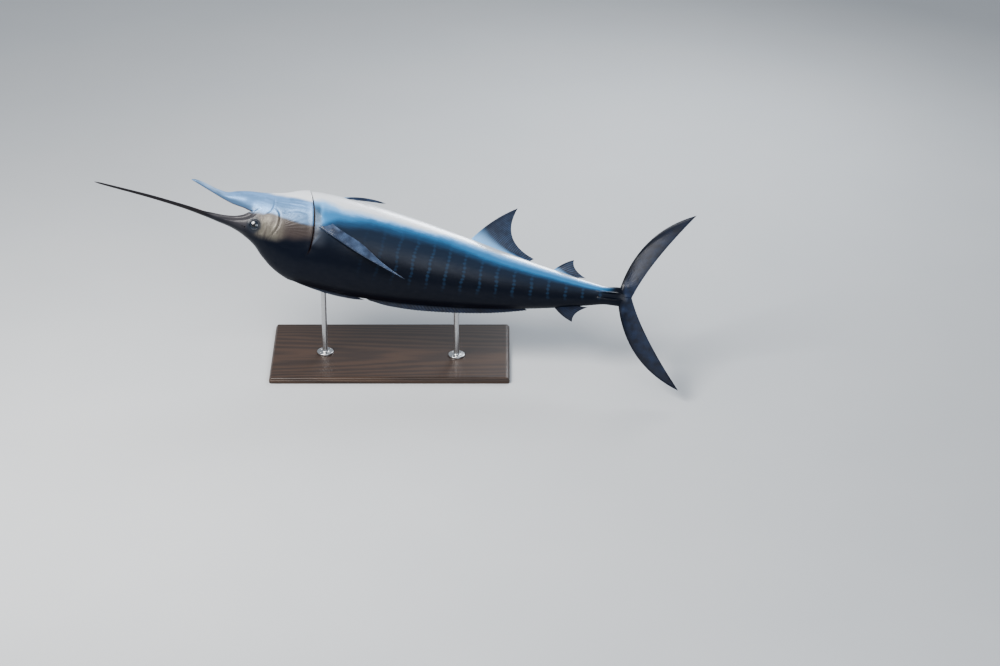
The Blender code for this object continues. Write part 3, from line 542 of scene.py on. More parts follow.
# way from the block's edge to the oval, size of the oval, height above the skin
EYE_PROFILE = [
    (0.35, 1.48, 0), (0.70, 1.48, 0), (1, 1.48, 0.0001), (1, 1.40, 0.0005), (1, 1.32, 0.0011),
    (1, 1.25, 0.0018), (1, 1.18, 0.0025), (1, 1.12, 0.0029), (1, 1.07, 0.0029), (1, 1.03, 0.0024),
    (1, 1.00, 0.0015), (1, 0.985, 0.0004), (1, 0.978, -0.0010), (1, 0.972, -0.0030), (1, 0.96, -0.0060),
    (1, 0.92, -0.0100), (1, 0.78, -0.0150), (1, 0.45, -0.0190), (1, 0, -0.0200),
]
NOSTRIL_PROFILE = [
    (0.5, 1.35, 0), (1, 1.30, 0.0002), (1, 1.12, 0.0006), (1, 1.0, 0.0004), (1, 0.90, -0.0006),
    (1, 0.82, -0.0022), (1, 0.70, -0.0040), (1, 0.40, -0.0052), (1, 0, -0.0055),
]
NOSTRILS = [((-0.0600, 0.0200), (0.0026, 0.0038)), ((-0.0465, 0.0215), (0.0024, 0.0056))]  # centre, radii
NOSTRIL_BLOCK = (0.0055, 0.0090)
OPENING_DEEP = 0.003  # a point this far under the skin counts as deep in its opening
HALVINGS = 24


def on_flank(a, v):
    """Points of the right flank at stations a and heights v. The t that gives each height is found by
    halving: the flank falls all the way from back to lip, so HALVINGS place it to a few nanometres."""
    low, high = np.zeros_like(a), np.ones_like(a)
    for halving in range(HALVINGS):
        t = (low + high) / 2
        above = upper(a, t)[1] > v
        low, high = np.where(above, t, low), np.where(above, high, t)
    return at_station(a, upper(a, (low + high) / 2))


def flank_normal(a, v):
    """The outward normal of the right flank at one place: the cross product of two short steps on it."""
    step = 0.002
    near = on_flank(np.array([a - step, a + step, a, a]), np.array([v, v, v - step, v + step]))
    normal = np.cross(near[3] - near[2], near[1] - near[0])
    return normal / np.linalg.norm(normal)


def block_edge(sheet, rows, columns):
    """The points round the edge of a block of the sheet, once round."""
    (i0, i1), (j0, j1) = rows, columns
    return np.concatenate([sheet[i0:i1, j0], sheet[i1, j0:j1], sheet[i1:i0:-1, j1], sheet[i0, j1:j0:-1]])


def opening(edge, centre, radii, profile):
    """Rings (ring, point, 3) from an edge to an oval and on into the skin. A point of a ring lies on the
    line from the edge's point to the oval's point in the same direction, and stands off by the profile's
    height."""
    middle = np.array(centre)
    out = edge[:, [0, 2]] - middle
    direction = out / np.linalg.norm(out, axis=1, keepdims=True)
    axis = flank_normal(*centre)
    rings = [edge]
    for way, size, height in profile:
        oval = middle + direction * np.array(radii) * size
        place = (1 - way) * edge[:, [0, 2]] + way * oval
        rings.append(on_flank(place[:, 0], place[:, 1]) + height * axis)
    rings = np.stack(rings)
    return np.concatenate([rings, rings[:, :1]], axis=1)


def block_round(centre, half_a, half_v):
    """Row and column numbers of the block of the flank's grid that lies round a place."""
    rows = [int(np.argmin(np.abs(upper_rows - (centre[0] + d)))) for d in (-half_a, half_a)]
    heights = upper(centre[0] + 0 * upper_t, upper_t)[1]
    columns = [int(np.argmin(np.abs(heights - (centre[1] - d)))) for d in (-half_v, half_v)]
    return rows, columns


openings, blocks = [], []
sites = [((0.0, 0.0), (EYE_RING, EYE_RING), EYE_PROFILE, (EYE_BLOCK, EYE_BLOCK))]
sites += [(centre, radii, NOSTRIL_PROFILE, NOSTRIL_BLOCK) for centre, radii in NOSTRILS]
for centre, radii, profile, half in sites:
    rows, columns = block_round(centre, *half)
    blocks.append((rows, columns))
    openings.append(opening(block_edge(upper_sheet, rows, columns), centre, radii, profile))
print("openings:", [ring.shape[:2] for ring in openings])

# %% [markdown]
# ## Sewing the sheets together
#
# Each sheet is a grid of quads. The right half's sheets are mirrored, all the points go into one mesh, and
# points that lie on each other are merged. That closes every seam and every pole. Each point also carries
# what its material needs: where it lies on the straight fish, and whether it is inside the mouth or deep in
# an opening.

# %% One closed mesh
def grid_quads(shape, start, hole=()):
    """Quads of a grid of points numbered row by row from start, without those in the blocks named by
    hole."""
    number = start + np.arange(shape[0] * shape[1]).reshape(shape)
    keep = np.ones((shape[0] - 1, shape[1] - 1), bool)
    for (i0, i1), (j0, j1) in hole:
        keep[i0:i1, j0:j1] = False
    quads = np.stack([number[:-1, :-1], number[1:, :-1], number[1:, 1:], number[:-1, 1:]], axis=-1)
    return quads[keep]


def new_mesh(name, points, faces):
    """A mesh of these points and quads."""
    mesh = bpy.data.meshes.new(name)
    mesh.vertices.add(len(points))
    mesh.vertices.foreach_set("co", np.asarray(points, np.float32).ravel())
    mesh.loops.add(faces.size)
    mesh.loops.foreach_set("vertex_index", faces.ravel().astype(np.int32))
    mesh.polygons.add(len(faces))
    mesh.polygons.foreach_set("loop_start", np.arange(0, faces.size, faces.shape[1], dtype=np.int32))
    mesh.update(calc_edges=True)
    return mesh


def merged(mesh, distance=1e-5):
    """Merges the mesh's doubles and turns its faces outwards. Returns how many of its edges are open."""
    shape = bmesh.new()
    shape.from_mesh(mesh)
    bmesh.ops.delete(shape, geom=[vert for vert in shape.verts if not vert.link_faces], context="VERTS")
    bmesh.ops.remove_doubles(shape, verts=shape.verts, dist=distance)
    bmesh.ops.dissolve_degenerate(shape, edges=shape.edges, dist=distance / 10)
    bmesh.ops.recalc_face_normals(shape, faces=shape.faces)
    still_open = sum(1 for edge in shape.edges if len(edge.link_faces) != 2)
    shape.to_mesh(mesh)
    shape.free()
    return still_open


def numbers(mesh, name, values):
    """Stores one number, or one vector, for each of the mesh's points under a name."""
    kind, field = ("FLOAT", "value") if values.ndim == 1 else ("FLOAT_VECTOR", "vector")
    layer = mesh.attributes.new(name, kind, "POINT")
    layer.data.foreach_set(field, np.asarray(values, np.float32).ravel())


def read(source, field, width, kind=np.float32):
    """A field of a mesh's points or edges as an array, width numbers to each."""
    values = np.empty(len(source) * width, kind)
    source.foreach_get(field, values)
    return values.reshape(-1, width)


def read_numbers(mesh, name):
    """One number for each point, as numbers() stored it."""
    return read(mesh.attributes[name].data, "value", 1)[:, 0].astype(float)


def points_of(mesh):
    """Where the mesh's points are."""
    return read(mesh.vertices, "co", 3).astype(float)


LIP_ALONG = ((-0.30, -0.22), (CORNER + 0.004, CORNER + 0.020))  # stations over which lips start and end
LINING_EDGE, LINING_STARTS = (0.02, 0.22), (-0.34, -0.24)  # shares of the way in from the lip, and stations


def lip_share(rows, near):
    """1 on the lips, for the softening of their edge: near holds the columns' closeness to the lip."""
    return between(rows, *LIP_ALONG)[:, None] * near[None, :]


def skin_part(sheet, lined=0.0, depth=0.0, lip=0.0, hole=()):
    """A sheet, what its points carry (inside the mouth, deep in an opening, close to a lip), and blocks
    left out."""
    return sheet, [np.broadcast_to(values, sheet.shape[:2]).ravel() for values in (lined, depth, lip)], hole


roof_lined = eased(1 - palate_x, *LINING_EDGE)[None, :] * eased(roof_rows, *LINING_STARTS)[:, None]
floor_lined = eased(1 - floor_x, *LINING_EDGE)[None, :]
upper_deep, lower_deep = np.zeros(upper_sheet.shape[:2]), np.zeros(lower_sheet.shape[:2])
upper_deep[-len(rear_rows):] = slit[:, :UPPER_COLUMNS]
lower_deep[-len(rear_rows):] = slit[:, UPPER_COLUMNS - 1:]
sheets = [
    skin_part(upper_sheet, 0.0, upper_deep, lip_share(upper_rows, eased(upper_t, 0.93, 1.0)), blocks),
    skin_part(lower_sheet, 0.0, lower_deep, lip_share(lower_rows, 1 - eased(lower_t, 0.0, 0.09))),
    skin_part(palate_sheet, roof_lined, 0.0, lip_share(roof_rows, eased(palate_x, 0.70, 1.0))),
    skin_part(floor_sheet, floor_lined, 0.0, lip_share(floor_rows, eased(floor_x, 0.72, 1.0))),
    skin_part(gullet_sheet, 1.0, way[..., 0] ** 0.5),
]
for rings, site in zip(openings, sites):
    heights = np.array([0.0] + [height for way_out, size, height in site[2]])
    sheets.append(skin_part(rings, 0.0, np.clip(-heights / OPENING_DEEP, 0, 1)[:, None]))

points, faces, carried = [], [], []
start = 0
for side in (1, -1):
    for sheet, fields, hole in sheets:
        points.append((sheet * np.array([1, side, 1])).reshape(-1, 3))
        faces.append(grid_quads(sheet.shape[:2], start, hole)[:, ::side])
        carried.append(fields)
        start += sheet.shape[0] * sheet.shape[1]
skin_mesh = new_mesh("skin", np.concatenate(points), np.concatenate(faces))
for name, parts in zip(("inside", "deep", "lip"), zip(*carried)):
    numbers(skin_mesh, name, np.concatenate(parts))
print("open edges in the skin:", merged(skin_mesh), "points:", len(skin_mesh.vertices))

# %% [markdown]
# ## Softening the lips
#
# The lips' edge is a corner of the grid. Moving each of its points a little towards the mean of its
# neighbours, a few times over, rounds it as flesh is rounded. Sums over the edges of the mesh do that for
# all points at once.

# %% Soft lips
LIP_SOFTNESS, LIP_ROUNDS = 0.5, 5


def softened(points, pairs, share, rounds):
    """Points moved towards the mean of their neighbours, share of the way each round.

    The mean is the sum over a point's edges of the point at the other end, divided by their number.
    """
    ends = np.concatenate([pairs, pairs[:, ::-1]])
    count = np.bincount(ends[:, 0], minlength=len(points))[:, None]
    for i in range(rounds):
        sums = [np.bincount(ends[:, 0], column, minlength=len(points)) for column in points[ends[:, 1]].T]
        points = points + share[:, None] * (np.stack(sums, axis=1) / count - points)
    return points


lip = read_numbers(skin_mesh, "lip")
pairs = read(skin_mesh.edges, "vertices", 2, np.int32)
fish = softened(points_of(skin_mesh), pairs, LIP_SOFTNESS * lip, LIP_ROUNDS)
print("softened", int((lip > 0.01).sum()), "points at the lips")

# %% [markdown]
# ## Bones and folds under the skin
#
# A marlin's skin is tight, so the bones under it show: the brow over the eye, the upper jaw's long bone,
# the plates of the gill cover, the thin folded rays of the throat, and the shoulder behind the slit. Each
# is a line drawn on the side of the fish, with a width and a height. A point moves out or in by that height
# times a bell of its distance from the line.

# %% Lines on the head
# name: half width, height, points (a, v) of the line
RELIEF = {
    "brow": (0.010, 0.0028, [(-0.085, 0.030), (-0.020, 0.045), (0.025, 0.050), (0.075, 0.044)]),
    "behind the brow": (0.006, -0.0012, [(0.036, 0.040), (0.056, 0.014), (0.052, -0.026)]),
    "jaw bone": (0.007, 0.0021, [
        (-0.262, -0.003), (-0.130, -0.012), (-0.070, -0.026), (-0.032, -0.050), (-0.004, -0.090),
    ]),
    "above the jaw bone": (0.0036, -0.0017, [
        (-0.220, 0.009), (-0.120, 0.002), (-0.062, -0.012), (-0.016, -0.038), (0.014, -0.078),
    ]),
    "corner fold": (0.0030, -0.0013, [(-0.040, -0.056), (-0.014, -0.070), (0.012, -0.096)]),
    "jaw's end": (0.0038, -0.0020, [(0.044, -0.068), (0.071, -0.092), (0.081, -0.132), (0.072, -0.176)]),
    "cheek plate": (0.0040, -0.0020, [
        (0.080, 0.062), (0.114, 0.012), (0.129, -0.040), (0.122, -0.086), (0.088, -0.122),
    ]),
    "cheek plate's rim": (0.0060, 0.0012, [
        (0.072, 0.056), (0.103, 0.010), (0.116, -0.040), (0.110, -0.084), (0.080, -0.114),
    ]),
    "under the plate": (0.0036, -0.0017, [
        (0.124, -0.092), (0.165, -0.116), (0.220, -0.130), (0.280, -0.126),
    ]),
    "above the plate": (0.0050, -0.0012, [(0.118, 0.050), (0.180, 0.068), (0.240, 0.066), (0.300, 0.044)]),
    "shoulder": (0.012, 0.0016, [(0.296, 0.086), (0.316, 0.050), (0.336, 0.010), (0.344, -0.030)]),
    "under the shoulder": (0.012, 0.0022, [(0.330, -0.120), (0.345, -0.160), (0.330, -0.215)]),
    "snout's side": (0.006, -0.0010, [(-0.220, 0.014), (-0.120, 0.020), (-0.075, 0.026)]),
}
LINE_ENDS = ((0, 0.22), (0.78, 1))  # shares of a line's length over which it runs out
THROAT_FOLDS, FOLD_DEPTH, FOLD_TOP = 6, 0.0013, -0.132
FOLDS_ALONG, FOLDS_UP = ((0.02, 0.08), (0.22, 0.285)), ((0.02, 0.12), (0.80, 1.0))
PLATE_LINES, PLATE_CENTRE, PLATE_DEPTH = 44, (0.112, -0.010), 0.00022  # bony lines, fanned over the plate
PLATE_ALONG, PLATE_UP = ((0.14, 0.17), (0.27, 0.295)), ((-0.118, -0.095), (0.035, 0.055))
FIN_MOUND = (0.362, -0.090, 0.040, 0.0028)  # at the foot of the pectoral fin: station, height, radius, rise
MOUND_SQUEEZE = 0.75  # heights count this much in the distance, so the hill is taller than it is long
MOUND_SPAN = (0.318, 0.345)  # it rises over these stations, as the dip behind the gill slit ends
VENT_STATION, VENT_RADIUS, VENT_DEPTH = 1.118, 0.011, 0.0050
# along the middle: stations where it rises and falls, distance from the middle, half width, height
THROAT_GROOVE = ((-0.02, 0.05), (0.20, 0.27), 0.0, 0.006, -0.0030)
JAW_KEEL = ((-0.36, -0.30), (-0.05, 0.0), 0.0, 0.006, 0.0012)
BACK_GROOVE = ((0.255, 0.30), (1.48, 1.53), 0.0, 0.006, -0.0040)
GROOVE_RIMS = ((0.255, 0.30), (1.48, 1.53), 0.015, 0.006, 0.0026)
PELVIC_GROOVES = ((0.41, 0.46), (0.60, 0.68), 0.028, 0.007, -0.0028)


def away_from(line, a, v):
    """Each point's distance from a smooth line drawn through places (a, v), the least over 60 short pieces
    of it, and how far along the line its nearest piece lies, from 0 to 1."""
    places = np.array(line)
    stops = np.linspace(0, 1, len(places))
    fine = np.linspace(0, 1, 61)
    path = np.stack([through(stops, column)(fine) for column in places.T], axis=1)
    nearest, along = np.full(len(a), np.inf), np.zeros(len(a))
    for p, q, place in zip(path[:-1], path[1:], fine):
        step = q - p
        share = np.clip(((a - p[0]) * step[0] + (v - p[1]) * step[1]) / (step @ step), 0, 1)
        distance = np.hypot(a - p[0] - share * step[0], v - p[1] - share * step[1])
        closer = distance < nearest
        nearest, along = np.where(closer, distance, nearest), np.where(closer, place, along)
    return nearest, along


def mound(a, v):
    """The low hill at the foot of the pectoral fin: its rise * exp(-(distance / radius)^2)."""
    station, height, radius, rise = FIN_MOUND
    away = np.hypot(a - station, (v - height) * MOUND_SQUEEZE)
    return rise * bell(away, radius) * eased(a, *MOUND_SPAN)


def along_middle(a, r, rise, fall, apart, width, height):
    """A ridge or groove along the back or belly, apart from the middle line: height * bell of the
    distance."""
    return height * between(a, rise, fall) * bell(np.abs(r) - apart, width)


def relief(fish, outside):
    """How far each point of the skin moves out, in metres, by all the lines and folds.

    A line gives height * exp(-(distance / width)^2), and runs out towards both of its ends.
    """
    a, r, v = fish.T
    moved = mound(a, v)
    head = np.flatnonzero((a > -0.34) & (a < 0.45))
    for width, height, line in RELIEF.values():
        distance, along = away_from(line, a[head], v[head])
        moved[head] += height * bell(distance, width) * between(along, *LINE_ENDS)
    level = (v - belly(a)) / (FOLD_TOP - belly(a))
    folds = between(a, *FOLDS_ALONG) * between(level, *FOLDS_UP)
    moved -= FOLD_DEPTH * folds * (0.5 - 0.5 * np.cos(2 * math.pi * THROAT_FOLDS * level))
    fan = np.arctan2(v - PLATE_CENTRE[1], a - PLATE_CENTRE[0])
    plate = between(a, *PLATE_ALONG) * between(v, *PLATE_UP)
    moved += PLATE_DEPTH * plate * np.cos(PLATE_LINES * fan + 1.5 * np.sin(7 * fan))
    below = v < waist(a)
    moved += along_middle(a, r, *JAW_KEEL) * (v < -0.12)
    moved += (along_middle(a, r, *THROAT_GROOVE) + along_middle(a, r, *PELVIC_GROOVES)) * below
    moved += (along_middle(a, r, *BACK_GROOVE) + along_middle(a, r, *GROOVE_RIMS)) * ~below
    moved -= VENT_DEPTH * bell(np.hypot(a - VENT_STATION, r), VENT_RADIUS) * below
    return moved * outside


def normals_of(mesh, points):
    """Each point's outward normal: the sum of its faces' normals, made one long."""
    mesh.vertices.foreach_set("co", points.astype(np.float32).ravel())
    mesh.update()
    return read(mesh.vertex_normals, "vector", 3).astype(float)


outside = (1 - read_numbers(skin_mesh, "inside")) * (1 - read_numbers(skin_mesh, "deep"))
moved = relief(fish, outside)
skin_points = fish + moved[:, None] * normals_of(skin_mesh, fish)
print("relief from", round(moved.min() * 1000, 1), "to", round(moved.max() * 1000, 1), "mm")

# %% [markdown]
# ## Setting the skin on the stand
#
# The last step bends and rolls the finished skin. Its material needs a place on the straight fish for every
# point, and also how high each point lies between belly and back, because the colour of the flank follows
# that.

# %% The finished skin
def place_of(fish):
    """Height between belly (-1), waist (0) and back (1) of each point."""
    a, v = fish[..., 0], fish[..., 2]
    s = a + bow(a, v)
    above = v - waist(s)
    return np.clip(above / np.where(above >= 0, back(s) - waist(s), waist(s) - belly(s)), -1.2, 1.2)


def placed(name, data):
    """An object for this mesh, light or camera, in the scene."""
    obj = bpy.data.objects.new(name, data)
    bpy.context.scene.collection.objects.link(obj)
    return obj


def piece(name, mesh, replaced, sharp=None):
    """An object for this mesh, riding on the model's body in place of the solid nodes named. Edges sharper
    than the angle sharp, in degrees, stay sharp."""
    obj = placed(name, mesh)
    mesh.shade_smooth()
    if sharp:
        mesh.set_sharp_from_angle(angle=math.radians(sharp))
    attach(obj, "root")
    if replaced:
        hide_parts(*replaced)
    return obj


numbers(skin_mesh, "fish", fish)
numbers(skin_mesh, "girth", place_of(fish))
skin_mesh.vertices.foreach_set("co", posed(skin_points).astype(np.float32).ravel())
skin_mesh.update()
FLESH = ["bill", "head", "gill_cover_right", "gill_cover_left", "lower_jaw"]
FLESH += ["trunk_front", "trunk_rear", "tail_stalk"]
skin = piece("skin", skin_mesh, FLESH)
print("skin:", sum(len(p.vertices) - 2 for p in skin_mesh.polygons), "triangles")

# %% [markdown]
# ## The eyes
#
# The eye of a marlin is large and nearly flat, a clear dome over a dark iris, with a wide round pupil that
# bulges a little. Half a turn of a profile makes it. The bare ball of the solid model stands out further
# than the real one, so the dome here is lower.

# %% Eyes
EYE_SINK = 0.0008  # the dome's rim lies this far under the skin
EYE_DOME = 0.0072
EYE_REACH = 0.0250  # radius of the ball where it meets the socket's wall
PUPIL, PUPIL_RISE = 0.47, 0.0009  # the pupil's share of the radius, and how far it bulges
EYE_SIDES, BALL_DEPTH = 64, 0.016


def turned(profile, sides):
    """Points (profile, side, 3) of a profile (radius, height) turned about Z: x = r cos, y = r sin, z =
    height."""
    angle = np.linspace(0, 2 * math.pi, sides + 1)
    radius, height = np.asarray(profile, float).T
    wide, high = radius[:, None], height[:, None]
    return np.stack([wide * np.cos(angle), wide * np.sin(angle), high + 0 * angle], axis=-1)


def eye_profile():
    """Radius and height from the pupil's middle out and round the back: a dome h = rise * (1 - r^2)^0.75,
    with a bell under the pupil, then an ellipsoid behind."""
    share = np.linspace(0, 1, 40)
    bulge = PUPIL_RISE * (1 - eased(share, PUPIL * 0.6, PUPIL * 1.15))
    dome = EYE_DOME * (1 - share**2) ** 0.75 + bulge - EYE_SINK
    angle = np.linspace(0, math.pi / 2, 14)[1:]
    rear = np.stack([EYE_REACH * np.cos(angle), -EYE_SINK - BALL_DEPTH * np.sin(angle)], axis=1)
    front = np.stack([EYE_REACH * share, dome], axis=1)
    return np.concatenate([front, rear])


def frame_at(a, v, side):
    """The place on the skin and three directions: along the fish, towards the back, and outwards."""
    place = on_flank(np.array([a]), np.array([v]))[0]
    out = flank_normal(a, v)
    along = np.cross(np.array([0.0, 0.0, 1.0]), out)
    along *= np.sign(along[0]) / np.linalg.norm(along)
    up = np.cross(out, along)
    flip = np.array([1, side, 1])
    return place * flip, along * flip, up * flip, out * flip


eyes = []
for side, word in ((1, "right"), (-1, "left")):
    place, along, up, out = frame_at(0.0, 0.0, side)
    local = turned(eye_profile(), EYE_SIDES)
    ball = place + local[..., :1] * along + local[..., 1:2] * up + local[..., 2:] * out
    mesh = new_mesh(f"eye_{word}_ball", posed(ball).reshape(-1, 3), grid_quads(local.shape[:2], 0))
    numbers(mesh, "eye", local.reshape(-1, 3) / EYE_REACH)
    print(word, "eye: open edges", merged(mesh, 1e-6))
    eyes.append(piece(f"eye_{word}_ball", mesh, [f"eye_{word}"]))

# %% [markdown]
# ## The fins
#
# A fin is two faces over one middle surface. Rays stand up from both, each a rounded ridge that splits in
# two further out, and the faces meet at every edge but the root, which is sunk in the body. Where a fin
# leaves the body it thickens, as flesh does round the foot of a fin.

# %% How a fin is built
RAY_SAMPLES = 7
SINK = 0.014  # the roots of the fins of back and belly lie this deep
BRANCH_SPAN, BRANCH_SIZE = 0.2, 0.7  # a ray splits over this share of its length, into ridges of this size
THINNER, THINNER_NOSE = 0.6, 0.8  # a fin and its leading edge thin by these shares towards the fin's edge
STEEPEST = 2.4  # a ridge is never higher than this many times the distance between two columns
NOSE_SHARE, TRAIL_SHARE = 0.020, 0.030  # shares of a fin's width over which its two edges are rounded


def ridge(count):
    """A row of rounded ridges, one for each whole number: (0.5 - 0.5 cos)^1.6."""
    return (0.5 - 0.5 * np.cos(2 * math.pi * count)) ** 1.6


def quarter(share):
    """A quarter circle, from 0 at share 0 to 1 at share 1 and after: sqrt(1 - (1 - share)^2)."""
    return np.sqrt(1 - (1 - np.clip(share, 0, 1)) ** 2)


def fin_mesh(
    name, grid, rays, rows, web, rib, lead, flare, trail, split=1.5, nose=0.035, plain=0.0, full=0.0
):
    """Both faces of a fin. grid(u, q) is its middle surface, u from the leading edge back and q from root
    to edge.

    The half thickness is web + rib * ridge, thinner towards the edge, with a rounded nose of lead along the
    leading edge and a flare at the foot. It is multiplied by a quarter circle at each free edge, so that
    both faces meet. For the first plain metres the rays are hidden in flesh. Up to q = full the rear edge
    keeps its thickness.
    """
    columns = rays * RAY_SAMPLES + 1
    u, q = np.meshgrid(np.linspace(0, 1, columns), np.linspace(0, 1, rows) ** 0.9, indexing="ij")
    middle = grid(u, q)
    across, along = np.gradient(middle, axis=0), np.gradient(middle, axis=1)
    normal = np.cross(across, along)
    normal /= np.linalg.norm(normal, axis=2, keepdims=True) + 1e-12
    branched = eased(q, split, split + BRANCH_SPAN)
    lift = ridge(rays * u) * (1 - branched) + ridge(2 * rays * u) * branched * BRANCH_SIZE
    if plain > 0:
        lift = lift * eased(np.linalg.norm(middle - middle[:, :1], axis=2), 0.3 * plain, plain)
    thin = 1 - THINNER * q
    half = web * thin + np.minimum(rib * thin, STEEPEST * np.linalg.norm(across, axis=2)) * lift
    half = half + bell(u, nose) * lead * (1 - THINNER_NOSE * q) + flare(u, q, middle)
    rear_edge = quarter((1 - u) / TRAIL_SHARE)
    if full > 0:
        rear_edge = np.maximum(rear_edge, 1 - eased(q, 0.5 * full, full))
    half = (half * quarter(u / NOSE_SHARE) * rear_edge * quarter((1 - q) / trail))[..., None]
    straight = np.concatenate([middle + normal * half, middle - normal * half]).reshape(-1, 3)
    count = columns * rows
    number = np.arange(count).reshape(columns, rows)
    walls = [grid_quads((columns, rows), 0), grid_quads((columns, rows), count)[:, ::-1]]
    for edge, turned_round in ((number[:, 0], True), (number[-1], False)):
        wall = np.stack([edge[:-1], edge[1:], edge[1:] + count, edge[:-1] + count], axis=-1)
        if turned_round or full > 0:
            walls.append(wall[:, ::-1] if turned_round else wall)
    mesh = new_mesh(name, posed(straight), np.concatenate(walls))
    numbers(mesh, "fish", straight)
    numbers(mesh, "girth", place_of(straight))
    pattern = np.stack([u * rays, q, u], axis=-1).reshape(-1, 3)
    numbers(mesh, "ray", np.concatenate([pattern, pattern]))
    numbers(mesh, "lift", np.tile((lift * (1 - 0.3 * q)).ravel(), 2))
    return mesh, merged(mesh, 2e-6)


def median_grid(root, tip, arch):
    """Rays in the fish's middle plane: straight from root(u) to tip(u), bowed forward by arch * 4q(1-q)."""

    def grid(u, q):
        low, high = root(u), tip(u)
        reach = high - low
        forward = np.stack([-np.abs(reach[..., 1]), np.abs(reach[..., 0]) * np.sign(reach[..., 1])], axis=-1)
        flat = low + reach * q[..., None] + arch * forward * (4 * q * (1 - q))[..., None]
        return np.stack([flat[..., 0], np.zeros_like(u), flat[..., 1]], axis=-1)

    return grid


def ridge_root(start, end, line, side):
    """Roots along the back (side 1) or the belly (side -1), sunk in the body."""

    def root(u):
        x = start + (end - start) * u
        return np.stack([x, line(x) - side * SINK], axis=-1)

    return root


def median_foot(line, side, size, reach):
    """Flesh at the foot of a fin of back or belly: size * exp(-height above the skin / reach)."""

    def foot(u, q, middle):
        above = side * (middle[..., 2] - line(middle[..., 0]))
        return size * np.exp(-np.maximum(above, -0.004) / reach) * np.minimum(1, 4 * u * (1 - u) + 0.25)

    return foot


def add_fin(node, grid, slot="fin_skin", **shape):
    """Makes one fin in place of its solid node, and keeps it in the list of fins."""
    mesh, still_open = fin_mesh(f"{node}_fine", grid, **shape)
    fins.append(piece(f"{node}_fine", mesh, [node]))
    print(node, len(mesh.polygons), "faces, open edges", still_open)


fins = []

# %% [markdown]
# ## Fins of back and belly
#
# A marlin folds its tall first back fin into a groove when it fights or runs, so only a low, close-set row
# of rays shows, with a ragged edge where each spine's tip stands clear of the membrane. The swept fins
# under and over the tail stalk are stiff, and end in a hollow rear edge.

# %% Back and belly fins
# apex, hollow of the rear edge and heel, each from the fin's base: back along the fish, and out from it
SMALL_SICKLE = ((0.115, 0.062), (0.105, 0.010), (0.075, -0.004))
LARGE_SICKLE = ((0.235, 0.205), (0.160, 0.020), (0.030, 0.012))


def folded_fin(start, end, last, rise, lead_in, rays):
    """A low folded fin: spines from the back to an edge that rises and falls along it, ragged between
    spines."""

    def tip(u):
        x = start + lead_in + (last - start - lead_in) * u
        ragged = 0.0035 * ridge(rays * u) * np.sin(math.pi * np.clip(u, 0.04, 1)) ** 0.5
        return np.stack([x + ragged, back(x) + rise(x) * 0.92 + ragged], axis=-1)

    return median_grid(ridge_root(start, end, back, 1), tip, arch=0.02)


def sickle_grid(base, line, side, apex, hollow, heel):
    """A swept fin: its edge is a curve from the apex, drawn towards the hollow, to the heel."""
    x0, x1 = base
    top = (x0 + apex[0], float(line(x0)) + side * apex[1])
    low = (x1 + heel[0], float(line(x1)) + side * heel[1])
    bend = (x0 + hollow[0], float(line(x0)) + side * hollow[1])
    return median_grid(ridge_root(x0, x1, line, side), lambda u: bezier(top, bend, low, u), arch=0.06)


front_rise = through([0.26, 0.38, 0.50, 0.60, 0.675], [0.000, 0.009, 0.014, 0.014, 0.010])
rear_rise = through([0.70, 0.80, 1.00, 1.30, 1.54], [0.008, 0.024, 0.032, 0.026, 0.008])
add_fin(
    "dorsal_fin_front", folded_fin(0.262, 0.600, 0.675, front_rise, 0.012, 34), rays=34, rows=16, web=0.0016,
    rib=0.0018, lead=0.0022, flare=median_foot(back, 1, 0.0020, 0.004), trail=0.10,
)
add_fin(
    "dorsal_fin_rear", folded_fin(0.655, 1.500, 1.535, rear_rise, 0.045, 46), rays=46, rows=16, web=0.0009,
    rib=0.0013, lead=0.0012, flare=median_foot(back, 1, 0.0018, 0.005), trail=0.08,
)
for node, base, line, side, sweep, rays, foot, nose in (
    ("dorsal_fin_second", (1.668, 1.785), back, 1, SMALL_SICKLE, 9, 0.004, 0.060),
    ("anal_fin_first", (1.160, 1.500), belly, -1, LARGE_SICKLE, 30, 0.008, 0.035),
    ("anal_fin_second", (1.636, 1.755), belly, -1, SMALL_SICKLE, 9, 0.004, 0.060),
):
    add_fin(
        node, sickle_grid(base, line, side, *sweep), rays=rays, rows=40, web=0.0012, rib=0.0008, lead=0.0035,
        flare=median_foot(line, side, foot, 0.010), trail=0.05, nose=nose, plain=0.034,
    )

# %% [markdown]
# ## Tail, pectoral and pelvic fins
#
# The tail is a stiff crescent, its rays packed so close that only fine ridges show. The pectoral fins are
# long and narrow, with a thick leading edge, and lie back along the flanks. The pelvic fins are two thin
# straps under the belly.

# %% Paired fins and tail
TAIL_OVERLAP = 0.0012  # the two lobes of the tail run this far into each other where they meet
PECTORAL_FRONT = [
    (0.322, 0.132, -0.074), (0.440, 0.171, -0.031), (0.575, 0.205, 0.017), (0.690, 0.230, 0.050),
    (0.856, 0.262, 0.094),
]
PECTORAL_REAR = [
    (0.856, 0.262, 0.094), (0.770, 0.238, 0.060), (0.688, 0.212, 0.022), (0.640, 0.196, -0.006),
    (0.578, 0.176, -0.040), (0.440, 0.150, -0.090), (0.372, 0.134, -0.123),
]
PECTORAL_LAST_ROOT = (0.354, 0.126, -0.118)
PECTORAL_SINK = 0.0130  # the root lies this deep in the flank
SLIT_SINK = 0.0065  # and as much deeper next to the gill slit, where the flank itself dips
PECTORAL_RISE = (0.31, 0.23)  # how steeply the leading and the last ray leave it


